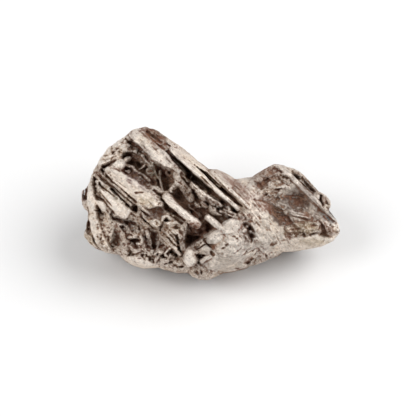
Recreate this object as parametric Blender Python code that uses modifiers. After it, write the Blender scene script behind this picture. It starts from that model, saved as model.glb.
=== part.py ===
"""An iron meteorite: one broken lump of coarsely banded nickel-iron, about 52 mm long.

The lump is one natural piece, so it is one solid. It is modelled in the frame of its open, broken
face (x to the right, y up the face, z out of the face, all in millimetres) and then leant back onto
its belly. The core is a pillow lofted over the outline of the face. Hollows are cut from it, plates
and knobs of metal are joined to it, and the whole is evened out, thinned and worn flat where it rests.
"""

import math

import bmesh
import bpy
import numpy as np
from mathutils import Matrix, Vector, noise

MM = 0.001

# Driving dimensions, in millimetres.
LEAN_DEG = 40.0  # the open face leans back this far from a wall behind it
CORE_CENTRE = (2.0, -4.0)  # every point of the outline can be seen from here
FRONT_DEPTH = (9.6, 6.2)  # core's height over the middle of the face: main mass, tail
BACK_DEPTH = (9.4, 8.6)  # and behind it
TAIL_START, TAIL_END = 3.0, 16.0  # x where the main mass hands over to the tail
CORE_SQUARENESS = 3.2  # how flat the pillow's faces are
RIM_ROUNDNESS = 2.0  # 2 is an elliptical rim
RINGS = 14  # rings of the loft on each side of the outline
SIDES = 132  # points round each ring
FACE_PULL = 0.8  # how much a piece on the open face turns from the skin's direction to the face's
PLATE_TAPER, PLATE_BEVEL = 0.82, 0.22

VOXEL = 0.4  # size of the grid that evens out the joined shapes
LUMPINESS = 0.55  # height of the slow unevenness of the metal
LUMP_SPACING = 3.4
TARGET_TRIANGLES = 9400
REST_LEVEL = -12.6  # height of the worn flats, measured from the face's origin
PLAN_CENTRE = (-0.06, -0.6)  # middle of the finished lump in plan, measured the same way

# The outline of the open face, anticlockwise from its right-hand tip.
OUTLINE = [
    (26.0, -5.8), (25.6, -4.2), (24.6, -2.7), (23.7, -1.4), (24.0, 0.2), (23.2, 1.4), (21.6, 2.2),
    (20.0, 4.2), (18.2, 6.0), (16.8, 6.8), (14.8, 7.4), (12.8, 7.7), (11.2, 6.9), (9.6, 6.0),
    (8.4, 5.2), (6.6, 5.0), (4.9, 4.7), (3.4, 5.6), (1.4, 6.5), (-0.4, 6.6), (-2.6, 8.4),
    (-5.4, 10.8), (-8.2, 12.7), (-10.8, 14.6), (-13.2, 15.2), (-15.4, 14.6), (-17.8, 12.7),
    (-20.4, 11.0), (-22.2, 8.6), (-23.3, 6.6), (-24.1, 4.0), (-25.6, 2.4), (-25.8, 0.0),
    (-24.4, -2.0), (-24.9, -4.6), (-25.2, -6.8), (-23.2, -8.8), (-21.0, -9.8), (-18.3, -10.4),
    (-16.2, -12.2), (-13.6, -13.1), (-10.4, -12.9), (-7.6, -13.8), (-4.6, -14.0), (-2.2, -15.3),
    (-0.4, -15.4), (2.4, -13.9), (5.4, -13.3), (8.2, -12.6), (11.4, -11.4), (14.6, -9.8),
    (18.4, -9.4), (22.2, -8.7), (24.6, -7.6),
]

# Broad swells of the open face: x, y, reach along, reach across, turn in degrees, height.
FRONT_SWELLS = [
    (-6.0, 7.5, 11.0, 2.6, -40.0, 1.6),  # crest along the upper edge
    (9.5, -1.0, 9.5, 2.8, -52.0, 2.2),  # shoulder between the main mass and the tail
    (3.5, -9.5, 5.5, 5.0, 20.0, 1.6),  # smooth lobe at the bottom
    (-17.5, -1.0, 6.0, 5.0, 0.0, 0.8),  # plated left flank
    (18.5, 3.6, 6.5, 1.6, -42.0, 1.4),  # ridge of the tail
    (-14.0, 4.0, 5.0, 4.0, 0.0, -0.6),
]

# Hollows cut into the core: x, y, half length, half width, turn in degrees, depth.
FRONT_HOLLOWS = [
    (-6.0, 3.0, 9.4, 2.9, -40.0, 4.6),  # the long cavity under the crest
    (-14.0, 8.0, 3.4, 2.0, -32.0, 3.0),  # pocket at its upper end
    (3.2, -1.0, 3.2, 1.7, -32.0, 3.2),  # and its lower end
    (-3.2, 5.2, 6.2, 0.9, -43.0, 4.0),  # dark gap under the second bar
    (3.0, 2.6, 4.8, 0.6, -44.0, 2.6),  # slot behind the second bar
    (-3.6, -6.8, 3.4, 2.2, -12.0, 4.4),  # pit above the bottom knob
    (-8.8, -4.6, 4.0, 2.4, -35.0, 2.2),
    (-13.6, -5.4, 3.0, 1.5, -20.0, 1.6),
    (-18.4, -6.8, 0.8, 2.8, 8.0, 1.9),  # groove in the lower left
    (-20.4, -5.0, 1.5, 2.6, 10.0, 1.0),
    (-18.0, 1.6, 4.2, 0.8, -40.0, 1.6),  # slot between the two left slabs
    (-21.6, 1.6, 2.2, 0.7, -40.0, 1.3),
    (-11.0, -9.0, 4.2, 2.4, 5.0, 1.6),
    (-1.8, -10.6, 1.8, 0.8, 30.0, 1.8),
    (7.4, -5.6, 1.0, 2.2, 28.0, 2.2),
    (16.2, -0.4, 3.8, 2.1, -8.0, 2.6),  # bowl of the tail
    (13.4, -3.2, 3.2, 1.5, -20.0, 1.9),
    (23.0, -5.6, 1.1, 1.8, 0.0, 1.8),
    (19.8, 4.0, 3.4, 0.7, -42.0, 1.4),
    (9.8, 3.4, 1.6, 1.1, 10.0, 1.6),
    (-25.0, 1.8, 0.8, 1.6, 0.0, 2.2),
    (-24.4, -4.8, 0.7, 1.6, 0.0, 2.0),
]

# Plates and bars of metal on the core: start x, y, end x, y, width, height above the skin, thickness.
FRONT_PLATES = [
    (-15.6, 13.4, -5.8, 5.6, 2.9, 1.7, 3.0),  # crest slab
    (-12.4, 14.4, -8.4, 11.2, 1.6, 0.5, 2.4),  # brown slope behind it
    (-7.4, 10.0, 5.6, -1.6, 1.5, 1.9, 3.2),  # second bar
    (-7.6, 11.6, 0.4, 5.8, 1.2, 1.3, 3.0),  # third bar, on the upper edge
    (0.8, 5.4, 7.6, -0.9, 0.9, 1.6, 2.8),
    (1.4, 5.8, 8.2, 1.0, 2.6, 1.0, 3.0),  # shoulder band, in three lengths
    (7.2, 1.6, 12.4, -4.4, 3.4, 1.2, 3.4),
    (11.8, -3.4, 15.6, -8.8, 3.2, 1.0, 3.2),
    (-19.6, 6.2, -11.0, -0.2, 2.6, 1.5, 2.6),  # upper left slab
    (-20.6, 4.9, -12.6, -1.5, 0.7, 1.2, 2.4),
    (-21.4, 2.6, -16.0, -1.9, 2.2, 1.3, 2.4),  # second left slab
    (-22.8, 4.6, -15.6, -1.2, 0.6, 1.5, 2.4),
    (-22.9, 0.6, -17.4, -3.0, 1.5, 0.9, 2.0),
    (-23.4, 4.6, -23.7, -1.0, 1.4, 1.3, 2.4),  # rib down the left rim, in three lengths
    (-23.7, -0.6, -22.7, -5.8, 1.4, 1.4, 2.4),
    (-22.8, -5.4, -20.6, -9.0, 1.4, 1.2, 2.4),
    (-21.4, 9.0, -16.2, 10.8, 2.4, 0.8, 2.4),
    (-22.8, 7.4, -18.4, 7.9, 1.5, 0.9, 2.2),
    (-19.6, 11.2, -16.6, 12.9, 1.6, 0.4, 2.0),
    (-8.7, 1.6, -1.9, -3.7, 1.5, 0.6, 1.9),  # loose finger across the cavity
    (-1.1, -2.9, 2.5, -5.4, 1.4, 0.4, 2.4),  # second finger
    (-6.9, 5.4, -4.7, 2.0, 1.4, -0.8, 2.8),
    (-11.9, 2.9, -9.2, 2.6, 0.9, -0.5, 2.2),
    (-16.8, 6.0, -12.2, 3.0, 1.6, -1.6, 2.2),
    (-3.2, 3.4, 1.2, -0.2, 1.0, -2.2, 2.0),
    (-9.6, -3.6, -6.4, -8.8, 1.9, 0.2, 2.2),
    (-9.4, -6.2, -6.2, -9.4, 0.5, 0.8, 2.2),
    (-3.6, -8.8, -1.4, -7.2, 1.1, 0.4, 2.4),
    (-14.2, -2.6, -11.4, -5.0, 1.8, 0.5, 2.0),
    (-17.4, -6.0, -16.4, -9.2, 1.5, 0.8, 2.0),
    (-15.6, -11.3, -10.6, -11.9, 1.6, 0.4, 2.0),  # lower rim
    (-9.6, -12.2, -5.0, -12.6, 1.7, 0.5, 2.0),
    (-2.6, -14.2, 3.0, -13.0, 1.8, 0.4, 2.2),
    (4.6, -12.6, 10.8, -10.8, 1.5, 0.6, 2.2),
    (8.9, -6.2, 11.6, -8.0, 3.4, 1.2, 2.6),  # rounded slab beside the shoulder
    (-0.2, -11.4, 4.6, -6.4, 4.6, 1.0, 3.0),  # smooth lobe
    (13.6, 6.7, 18.6, 2.7, 1.1, 1.0, 2.2),  # ridge of the tail, in three lengths
    (18.2, 3.0, 22.6, -1.5, 1.1, 1.3, 2.2),
    (22.2, -1.1, 25.1, -4.2, 1.2, 0.9, 2.2),
    (17.4, 6.4, 21.6, 2.4, 0.8, 0.4, 1.8),
    (9.8, 5.4, 13.2, 6.8, 1.4, 0.4, 2.0),
    (10.2, 1.4, 13.6, 3.8, 1.2, 0.9, 2.0),
    (15.6, -6.2, 21.0, -4.5, 2.5, 1.2, 2.4),  # ochre slab of the tail
    (15.6, -8.6, 20.8, -8.2, 1.5, 0.8, 2.2),  # lower rim of the tail
    (20.4, -8.2, 24.8, -6.8, 1.4, 0.8, 2.2),
]
# Rounded knobs: x, y, half length, half width, turn in degrees, height above the skin.
FRONT_KNOBS = [
    (-12.2, 0.3, 2.4, 1.9, -30.0, 1.7),
    (4.1, -4.1, 1.9, 1.4, 0.0, 2.0),
    (0.7, -6.4, 1.7, 1.3, 15.0, 1.8),
    (-4.2, -10.5, 1.2, 1.5, -15.0, 1.9),
    (-10.7, -3.9, 1.1, 0.9, 0.0, 1.3),
    (-9.3, -2.9, 0.9, 0.7, 0.0, 1.1),
    (10.4, -6.2, 1.8, 2.2, -25.0, 1.5),
    (22.9, 0.6, 1.5, 1.3, 0.0, 1.4),
    (25.0, -5.0, 1.0, 1.9, 0.0, 1.2),
    (14.6, 4.6, 3.6, 2.2, -15.0, 1.0),
    (12.4, 2.4, 2.0, 1.3, 10.0, 1.2),
    (13.2, -0.3, 1.5, 0.8, -8.0, 1.0),
    (9.5, 4.5, 1.0, 0.8, 0.0, 1.2),
    (-25.3, 3.2, 1.0, 1.1, 0.0, 1.0),
    (-25.6, -0.4, 1.0, 1.2, 0.0, 1.2),
    (-25.0, -7.0, 1.2, 1.6, 0.0, 1.3),
    (-25.2, -5.2, 0.9, 0.9, 0.0, 0.8),
    (23.4, 1.2, 1.2, 1.0, 0.0, 0.9),
    (21.4, 2.6, 1.4, 0.9, -40.0, 0.8),
    (-20.8, 9.6, 1.8, 1.4, 20.0, 1.2),
    (-16.6, -9.9, 1.4, 1.2, 0.0, 0.9),
]
# Rubble on the open face: middle x, y of a patch, its reach in x and y, and how many crumbs.
RUBBLE = [
    (-18.5, -5.5, 4.5, 4.5, 16),
    (-10.5, -8.5, 6.0, 3.6, 18),
    (-6.5, 3.5, 7.0, 2.6, 12),
    (16.5, -1.0, 6.0, 3.6, 12),
    (-13.0, 6.5, 4.0, 2.6, 6),
]
CRUMB_SIZE = (0.6, 1.5)  # smallest and largest half length, and width
CRUMB_TILT = 0.5

# Flat breaks across the core's sides and back: outward direction, and distance from the face's origin.
BREAKS = [
    ((-0.55, 0.25, -0.80), 14.2),
    ((0.25, 0.50, -0.83), 9.6),
    ((-0.10, -0.80, -0.59), 12.6),
    ((0.70, -0.10, -0.70), 18.2),
    ((-0.92, -0.30, -0.25), 25.3),
    ((-0.40, 0.85, -0.34), 18.5),
    ((0.60, 0.78, -0.20), 15.6),
    ((0.10, -0.25, -0.96), 10.6),
    ((0.0, -0.643, -0.766), 12.0),
]
# The three directions that the crystal bands run in.
BANDS = [(0.77, -0.64, 0.0), (0.62, 0.45, -0.64), (-0.25, 0.55, 0.80)]

# How many pieces of relief cover the flanks and the back, spread evenly round them.
FLANK_PLATES, FLANK_HOLLOWS, FLANK_KNOBS = 74, 34, 20
FLANK_SEED, RUBBLE_SEED = 11, 5
GOLDEN_ANGLE = math.pi * (3.0 - math.sqrt(5.0))

# Bumps of the belly that carry the lump: x, y from the middle of its plan.
FEET = [(-13.0, -0.5), (3.0, -6.0), (0.0, 3.4), (13.5, 1.2)]
FOOT_RADII = (6.0, 4.4, 5.2)  # in x, in y, upwards
FOOT_WEAR = 0.4  # how much of each bump the ground has worn away

IRON = (0.56, 0.52, 0.48, 1.0)


def face_to_world():
    """The turn and shift that lay the face's millimetre frame down as the lump rests, in metres."""
    turn = Matrix.Rotation(math.radians(LEAN_DEG), 4, "X")
    shift = Matrix.Translation((-PLAN_CENTRE[0] * MM, -PLAN_CENTRE[1] * MM, -REST_LEVEL * MM))
    return shift @ turn @ Matrix.Diagonal((MM, MM, MM, 1.0))


def outline_radius(angle):
    """Distance from the core's centre to the outline, in each of these directions."""
    points = np.array(OUTLINE) - CORE_CENTRE
    around = np.arctan2(points[:, 1], points[:, 0])
    order = np.argsort(around)
    return np.interp(angle, around[order], np.hypot(*points.T)[order], period=2 * math.pi)


def swelling(x, y, swells):
    """Sum of smooth bell-shaped hills over the face."""
    height = np.zeros_like(x)
    for at_x, at_y, along, across, turn, rise in swells:
        c, s = math.cos(math.radians(turn)), math.sin(math.radians(turn))
        u, v = (x - at_x) * c + (y - at_y) * s, (y - at_y) * c - (x - at_x) * s
        height += rise * np.exp(-((u / along) ** 2) - (v / across) ** 2)
    return height


def skin(angle, sweep):
    """Points of the core's skin. angle goes round the outline, and sweep from 0 at the front's pole
    over the outline at a quarter turn to the back's pole at a half turn."""
    angle, sweep = np.broadcast_arrays(np.asarray(angle, float), np.asarray(sweep, float))
    share, side = np.sin(sweep), np.where(sweep < math.pi / 2, 1.0, -1.0)
    reach = share * outline_radius(angle)
    x, y = CORE_CENTRE[0] + reach * np.cos(angle), CORE_CENTRE[1] + reach * np.sin(angle)
    tail = np.clip((x - TAIL_START) / (TAIL_END - TAIL_START), 0.0, 1.0)
    tail = tail * tail * (3.0 - 2.0 * tail)
    front = FRONT_DEPTH[0] + (FRONT_DEPTH[1] - FRONT_DEPTH[0]) * tail + swelling(x, y, FRONT_SWELLS)
    back = BACK_DEPTH[0] + (BACK_DEPTH[1] - BACK_DEPTH[0]) * tail
    crown = np.where(side > 0, front, back)
    z = side * crown * (1.0 - share**CORE_SQUARENESS) ** (1.0 / RIM_ROUNDNESS)
    points = np.stack([x, y, z], axis=-1)
    for direction, distance in BREAKS:
        outward = np.array(direction) / np.linalg.norm(direction)
        past = np.maximum(points @ outward - distance, 0.0)
        points = points - past[..., None] * outward
    return points


def skin_frame(angle, sweep):
    """Point on the skin and its outward direction there."""
    step = 0.04
    here, around, down = skin([angle, angle + step, angle], [sweep, sweep, sweep + step])
    outward = Vector(np.cross(down - here, around - here)).normalized()
    return Vector(here), outward


def on_face(x, y):
    """Frame of the skin over a place on the open face."""
    out_x, out_y = x - CORE_CENTRE[0], y - CORE_CENTRE[1]
    angle = math.atan2(out_y, out_x)
    share = min(math.hypot(out_x, out_y) / float(outline_radius(angle)), 0.985)
    point, outward = skin_frame(angle, math.asin(share))
    return point, (outward + Vector((0.0, 0.0, FACE_PULL))).normalized()


def flank_places(count, rng):
    """Frames spread evenly over the sides and the back, each with the band direction that it follows,
    and how far its relief goes, which dies away towards the outline."""
    for k in range(count):
        depth = 0.16 + 0.80 * (k + 0.5) / count
        sweep = math.acos(-depth) + rng.uniform(-0.05, 0.05)
        point, outward = skin_frame(k * GOLDEN_ANGLE + rng.uniform(-0.2, 0.2), sweep)
        band = Vector(BANDS[k % len(BANDS)])
        along = (band - band.dot(outward) * outward).normalized()
        yield point, outward, along, min(1.0, 1.8 * depth)


def new_object(name, mesh, collection):
    obj = bpy.data.objects.new(name, mesh)
    collection.objects.link(obj)
    return obj


def mesh_from(shape, name):
    """Lays a bmesh of face millimetres down in the world and stores it."""
    shape.transform(face_to_world())
    bmesh.ops.recalc_face_normals(shape, faces=shape.faces)
    mesh = bpy.data.meshes.new(name)
    shape.to_mesh(mesh)
    shape.free()
    return mesh


def core_mesh():
    """The pillow: a loft of rings that shrink from the outline to a pole on the front and the back."""
    angle = np.linspace(0.0, 2 * math.pi, SIDES, endpoint=False)
    shape = bmesh.new()
    poles = [shape.verts.new(skin(0.0, sweep)) for sweep in (0.0, math.pi)]
    rings = []
    for step in range(1, 2 * RINGS):
        points = skin(angle, 0.5 * math.pi * step / RINGS)
        rings.append([shape.verts.new(point) for point in points])
    for k in range(SIDES):
        after = (k + 1) % SIDES
        shape.faces.new((poles[0], rings[0][k], rings[0][after]))
        shape.faces.new((poles[1], rings[-1][after], rings[-1][k]))
        for inner, outer in zip(rings, rings[1:]):
            shape.faces.new((inner[k], outer[k], outer[after], inner[after]))
    return mesh_from(shape, "core")


def plate_mesh(first, last, outward, width, proud, thickness):
    """A bevelled slab from first to last on the skin, its outer face standing proud of them."""
    along = last - first
    across = outward.cross(along).normalized()
    up = along.cross(across).normalized()
    middle = (first + last) / 2 + up * (proud - thickness / 2)
    shape = bmesh.new()
    bmesh.ops.create_cube(shape, size=1.0)
    for vert in shape.verts:
        taper = PLATE_TAPER if vert.co.x * vert.co.y > 0 else 1.0
        vert.co = Vector((vert.co.x * along.length, vert.co.y * width * taper, vert.co.z * thickness))
    bevel = PLATE_BEVEL * min(width, thickness)
    bmesh.ops.bevel(shape, geom=list(shape.edges), offset=bevel, segments=1, affect="EDGES")
    place = Matrix((along.normalized(), across, up)).transposed().to_4x4()
    shape.transform(Matrix.Translation(middle) @ place)
    return mesh_from(shape, "plate")


def ball_mesh(centre, radii, along, outward):
    """A squashed ball, its first radius along one direction of the skin and its third outward."""
    shape = bmesh.new()
    bmesh.ops.create_icosphere(shape, subdivisions=2, radius=1.0)
    across = outward.cross(along).normalized()
    place = Matrix((across.cross(outward), across, outward)).transposed().to_4x4()
    shape.transform(Matrix.Translation(centre) @ place @ Matrix.Diagonal((*radii, 1.0)))
    return mesh_from(shape, "ball")


def face_direction(turn_deg):
    return Vector((math.cos(math.radians(turn_deg)), math.sin(math.radians(turn_deg)), 0.0))


def add_hollows(collection):
    """Bowls to be cut away, centred on the skin."""
    for x, y, along, across, turn, depth in FRONT_HOLLOWS:
        point, outward = on_face(x, y)
        mesh = ball_mesh(point, (along, across, depth), face_direction(turn), outward)
        new_object("hollow", mesh, collection)
    rng = np.random.default_rng(FLANK_SEED)
    for point, outward, along, relief in flank_places(FLANK_HOLLOWS, rng):
        radii = (rng.uniform(2.2, 5.0), rng.uniform(1.2, 2.4), relief * rng.uniform(1.4, 2.8))
        new_object("hollow", ball_mesh(point, radii, along, outward), collection)


def add_plates(collection):
    for x0, y0, x1, y1, width, proud, thickness in FRONT_PLATES:
        (first, outward_a), (last, outward_b) = on_face(x0, y0), on_face(x1, y1)
        mesh = plate_mesh(first, last, outward_a + outward_b, width, proud, thickness)
        new_object("plate", mesh, collection)
    rng = np.random.default_rng(FLANK_SEED + 1)
    for point, outward, along, relief in flank_places(FLANK_PLATES, rng):
        reach = along * relief * rng.uniform(2.2, 4.8)
        width, proud = rng.uniform(1.0, 3.0), relief * rng.uniform(0.5, 1.5)
        mesh = plate_mesh(point - reach, point + reach, outward, width, proud, 2.8)
        new_object("plate", mesh, collection)


def add_knobs(collection):
    rng = np.random.default_rng(FLANK_SEED + 2)
    places = []
    for x, y, long, wide, turn, proud in FRONT_KNOBS:
        places.append((*on_face(x, y), face_direction(turn), long, wide, proud))
    for point, outward, along, relief in flank_places(FLANK_KNOBS, rng):
        places.append((point, outward, along, rng.uniform(1.4, 2.8), rng.uniform(1.2, 2.0), relief))
    for point, outward, along, long, wide, proud in places:
        depth = 0.8 * (long + wide)
        mesh = ball_mesh(point + outward * (proud - depth), (long, wide, depth), along, outward)
        new_object("knob", mesh, collection)


def add_rubble(collection):
    """Small tilted blocks strewn over the rough patches of the open face."""
    rng = np.random.default_rng(RUBBLE_SEED)
    for middle_x, middle_y, reach_x, reach_y, count in RUBBLE:
        for _ in range(count):
            x, y = middle_x + reach_x * rng.uniform(-1, 1), middle_y + reach_y * rng.uniform(-1, 1)
            point, outward = on_face(x, y)
            reach = face_direction(rng.uniform(0, 180)) * rng.uniform(*CRUMB_SIZE)
            tilt = Vector(rng.uniform(-CRUMB_TILT, CRUMB_TILT, 3))
            width, proud = rng.uniform(*CRUMB_SIZE), rng.uniform(0.1, 1.0)
            mesh = plate_mesh(point - reach, point + reach, outward + tilt, width, proud, 3.0)
            new_object("crumb", mesh, collection)


def add_feet(collection):
    to_face = face_to_world().inverted()
    up = (to_face.to_3x3() @ Vector((0.0, 0.0, 1.0))).normalized()
    for x, y in FEET:
        centre = to_face @ (Vector((x, y, FOOT_RADII[2] - FOOT_WEAR)) * MM)
        mesh = ball_mesh(centre, FOOT_RADII, Vector((1.0, 0.0, 0.0)), up)
        new_object("foot", mesh, collection)


def floor_block(collection):
    """The ground below the rest level, where the belly's lowest bumps are worn flat."""
    shape = bmesh.new()
    bmesh.ops.create_cube(shape, size=0.1)
    bmesh.ops.translate(shape, verts=shape.verts, vec=(0.0, 0.0, -0.05))
    mesh = bpy.data.meshes.new("floor_block")
    shape.to_mesh(mesh)
    shape.free()
    new_object("floor_block", mesh, collection)


def helper_collection(name):
    collection = bpy.data.collections.new(name)
    collection.hide_render = True
    bpy.context.scene.collection.children.link(collection)
    return collection


def hide_helpers(collection):
    for helper in collection.objects:
        helper.hide_render = True
        helper.display_type = "WIRE"


def boolean(obj, operation, collection, solver):
    modifier = obj.modifiers.new(operation.title(), "BOOLEAN")
    modifier.operation = operation
    modifier.operand_type = "COLLECTION"
    modifier.collection = collection
    modifier.solver = solver


def evaluated_copy(obj):
    graph = bpy.context.evaluated_depsgraph_get()
    return bpy.data.meshes.new_from_object(obj.evaluated_get(graph), depsgraph=graph)


def drop_crumbs(mesh):
    """Deletes all but the largest connected body, as the cutting leaves a few loose crumbs."""
    shape = bmesh.new()
    shape.from_mesh(mesh)
    bodies, seen = [], set()
    for start in shape.verts:
        if start in seen:
            continue
        body, unwalked = {start}, [start]
        while unwalked:
            vert = unwalked.pop()
            neighbours = {edge.other_vert(vert) for edge in vert.link_edges} - body
            body |= neighbours
            unwalked.extend(neighbours)
        seen |= body
        bodies.append(body)
    bodies.sort(key=len)
    crumbs = [vert for body in bodies[:-1] for vert in body]
    bmesh.ops.delete(shape, geom=crumbs, context="VERTS")
    shape.to_mesh(mesh)
    shape.free()


def roughen(mesh):
    """Moves each point along its normal by a slow noise, as the metal's surface is never even."""
    normals = [vert.normal.copy() for vert in mesh.vertices]
    for vert, normal in zip(mesh.vertices, normals):
        vert.co += normal * noise.noise(vert.co / (LUMP_SPACING * MM)) * LUMPINESS * MM


def iron_material():
    material = bpy.data.materials.new("meteoritic_iron")
    material.use_nodes = True
    shader = material.node_tree.nodes["Principled BSDF"]
    shader.inputs["Base Color"].default_value = IRON
    shader.inputs["Metallic"].default_value = 0.85
    shader.inputs["Roughness"].default_value = 0.45
    return material


def main():
    for obj in list(bpy.data.objects):
        bpy.data.objects.remove(obj)
    lump_collection = bpy.data.collections.new("iron_meteorite")
    bpy.context.scene.collection.children.link(lump_collection)
    hollows = helper_collection("hollows")
    growths = helper_collection("growths")
    floor = helper_collection("floor")

    add_hollows(hollows)
    add_plates(growths)
    add_knobs(growths)
    add_rubble(growths)
    add_feet(growths)
    floor_block(floor)

    meteorite = new_object("meteorite", core_mesh(), lump_collection)
    # The exact solver loses bodies where this many blocks overlap, so these two use the manifold one.
    boolean(meteorite, "DIFFERENCE", hollows, "MANIFOLD")
    boolean(meteorite, "UNION", growths, "MANIFOLD")
    even = meteorite.modifiers.new("Even", "REMESH")
    even.mode = "VOXEL"
    even.voxel_size = VOXEL * MM
    meteorite.data = evaluated_copy(meteorite)
    meteorite.modifiers.clear()
    drop_crumbs(meteorite.data)
    roughen(meteorite.data)

    thin = meteorite.modifiers.new("Thin", "DECIMATE")
    thin.ratio = TARGET_TRIANGLES / sum(len(face.vertices) - 2 for face in meteorite.data.polygons)
    boolean(meteorite, "DIFFERENCE", floor, "EXACT")
    for collection in (hollows, growths, floor):
        hide_helpers(collection)
    meteorite.data.materials.clear()
    meteorite.data.materials.append(iron_material())


main()
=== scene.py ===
"""The finish of an iron meteorite: one broken lump of coarsely banded nickel-iron.

The lump is worked out in the frame of its open, broken face, in millimetres: x to the right, y up the
face and z out of it. Its skin is a surface of two parameters. The relief of the open face is carved
over x and y, plates and knobs are joined to its flanks, and the result is remeshed, roughened, laid
down as the lump rests and coloured by masks that the material reads.
"""

import math

import bpy
import numpy as np
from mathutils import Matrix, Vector


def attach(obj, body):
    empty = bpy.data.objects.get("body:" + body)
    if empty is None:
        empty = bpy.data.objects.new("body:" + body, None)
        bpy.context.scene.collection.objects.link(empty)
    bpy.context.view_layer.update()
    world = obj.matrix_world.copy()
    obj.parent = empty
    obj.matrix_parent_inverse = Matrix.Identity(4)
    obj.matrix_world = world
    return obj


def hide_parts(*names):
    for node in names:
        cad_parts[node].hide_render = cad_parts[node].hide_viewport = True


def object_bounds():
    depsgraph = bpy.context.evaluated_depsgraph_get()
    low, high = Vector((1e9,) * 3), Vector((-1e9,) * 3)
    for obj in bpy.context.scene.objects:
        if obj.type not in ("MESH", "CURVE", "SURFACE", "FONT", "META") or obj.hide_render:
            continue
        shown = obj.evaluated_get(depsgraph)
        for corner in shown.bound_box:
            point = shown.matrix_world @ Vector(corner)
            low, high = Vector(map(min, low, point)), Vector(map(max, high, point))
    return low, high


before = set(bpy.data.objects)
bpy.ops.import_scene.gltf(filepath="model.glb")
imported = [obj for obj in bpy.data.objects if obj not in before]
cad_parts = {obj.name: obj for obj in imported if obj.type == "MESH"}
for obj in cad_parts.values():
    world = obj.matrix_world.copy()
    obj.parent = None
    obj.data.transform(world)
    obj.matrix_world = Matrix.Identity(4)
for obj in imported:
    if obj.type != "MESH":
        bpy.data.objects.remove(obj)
CAD_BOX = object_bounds()

MM = 0.001

# How the lump lies.
LEAN_DEG = 40.0  # the open face leans back this far from a wall behind it
REST_LEVEL = -12.6  # height of the worn flats, measured from the face's origin
PLAN_CENTRE = (-0.06, -0.6)  # middle of the lump in plan, measured the same way

# The skin under the relief.
CORE_CENTRE = (2.0, -4.0)  # every point of the outline can be seen from here
FRONT_DEPTH = (9.6, 6.2)  # height of the skin over the middle of the face: main mass, tail
BACK_DEPTH = (9.4, 8.6)  # and behind it
TAIL_START, TAIL_END = 3.0, 16.0  # x where the main mass hands over to the tail
SQUARENESS = 3.2  # how flat the skin's faces are
SKIN_RINGS, SKIN_SIDES = 560, 1300  # points of the skin from pole to pole, and round it
WRAP = 0.35  # how far the face's relief runs on round the rim, in radians of the skin's sweep

# The mesh.
FINE_GRID = 0.125  # size of the grid that evens out the joined shapes
TRIANGLES = 188000  # how many are kept
SHARP_DEG = 32.0  # edges sharper than this are shaded as edges
FACE_SIDE = -0.1  # a point is on the open face where its normal's z is over this
FACE_SPARE = 0.35  # how readily the open face's points are given up, where the others' is 1

# The outline of the open face, anticlockwise from its right-hand tip.
OUTLINE = [
    (26.0, -5.8), (25.6, -4.2), (24.6, -2.7), (23.7, -1.4), (24.0, 0.2), (23.2, 1.4), (21.6, 2.2),
    (20.0, 4.2), (18.2, 6.0), (16.8, 6.8), (14.8, 7.4), (12.8, 7.7), (11.2, 6.9), (9.6, 6.0), (8.4, 5.2),
    (6.6, 5.0), (4.9, 4.7), (3.4, 5.6), (1.4, 6.5), (-0.4, 6.6), (-2.6, 8.4), (-5.4, 10.8), (-8.2, 12.7),
    (-10.8, 14.6), (-13.2, 15.2), (-15.4, 14.6), (-17.8, 12.7), (-20.4, 11.0), (-22.2, 8.6), (-23.3, 6.6),
    (-24.1, 4.0), (-25.6, 2.4), (-25.8, 0.0), (-24.4, -2.0), (-24.9, -4.6), (-25.2, -6.8), (-23.2, -8.8),
    (-21.0, -9.8), (-18.3, -10.4), (-16.2, -12.2), (-13.6, -13.1), (-10.4, -12.9), (-7.6, -13.8),
    (-4.6, -14.0), (-2.2, -15.3), (-0.4, -15.4), (2.4, -13.9), (5.4, -13.3), (8.2, -12.6), (11.4, -11.4),
    (14.6, -9.8), (18.4, -9.4), (22.2, -8.7), (24.6, -7.6),
]

# Broad swells of the open face: x, y, reach along, reach across, turn in degrees, height.
SWELLS = [
    (-6.0, 7.5, 11.0, 2.6, -40.0, 1.6), (9.5, -1.0, 9.5, 2.8, -52.0, 2.2), (3.5, -9.5, 5.5, 5.0, 20.0, 1.6),
    (-17.5, -1.0, 6.0, 5.0, 0.0, 0.8), (18.5, 3.6, 6.5, 1.6, -42.0, 1.4), (-14.0, 4.0, 5.0, 4.0, 0.0, -0.6),
]

# Parts of the open face that broke smoothly: x, y, reach along, reach across, turn in degrees. The rest
# broke into flakes.
SMOOTH_PARTS = [
    (-11.2, 10.7, 5.6, 1.7, -43.0), (-15.2, 3.0, 6.2, 1.5, -38.0), (-18.6, -0.2, 4.0, 1.2, -43.0),
    (-22.0, -0.1, 2.2, 0.9, -40.0), (-23.3, -2.0, 7.0, 0.8, 97.0), (-20.4, -5.0, 1.8, 3.4, 10.0),
    (-18.8, 7.6, 2.6, 1.2, 15.0), (-19.4, 10.2, 3.6, 2.0, 35.0), (-1.2, 4.6, 9.5, 1.9, -44.0),
    (-5.6, -1.4, 4.4, 1.0, -38.0), (0.7, -3.7, 1.9, 0.8, -40.0), (3.6, -8.8, 6.0, 4.6, 20.0),
    (4.2, -4.6, 2.2, 1.9, -35.0), (-4.1, -10.7, 1.3, 1.6, 0.0), (6.6, 2.0, 8.5, 2.9, -47.0),
    (10.4, -6.4, 3.6, 2.6, -50.0), (18.0, -8.2, 9.5, 1.5, 8.0), (1.6, -6.4, 2.6, 1.5, 30.0),
    (-14.5, -12.0, 5.0, 1.2, -12.0), (18.6, 3.0, 7.0, 0.9, -43.0), (17.4, 0.2, 5.0, 3.2, -35.0),
    (23.6, -3.2, 3.0, 1.6, -45.0), (12.0, -4.4, 4.0, 1.8, -50.0),
]

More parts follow.
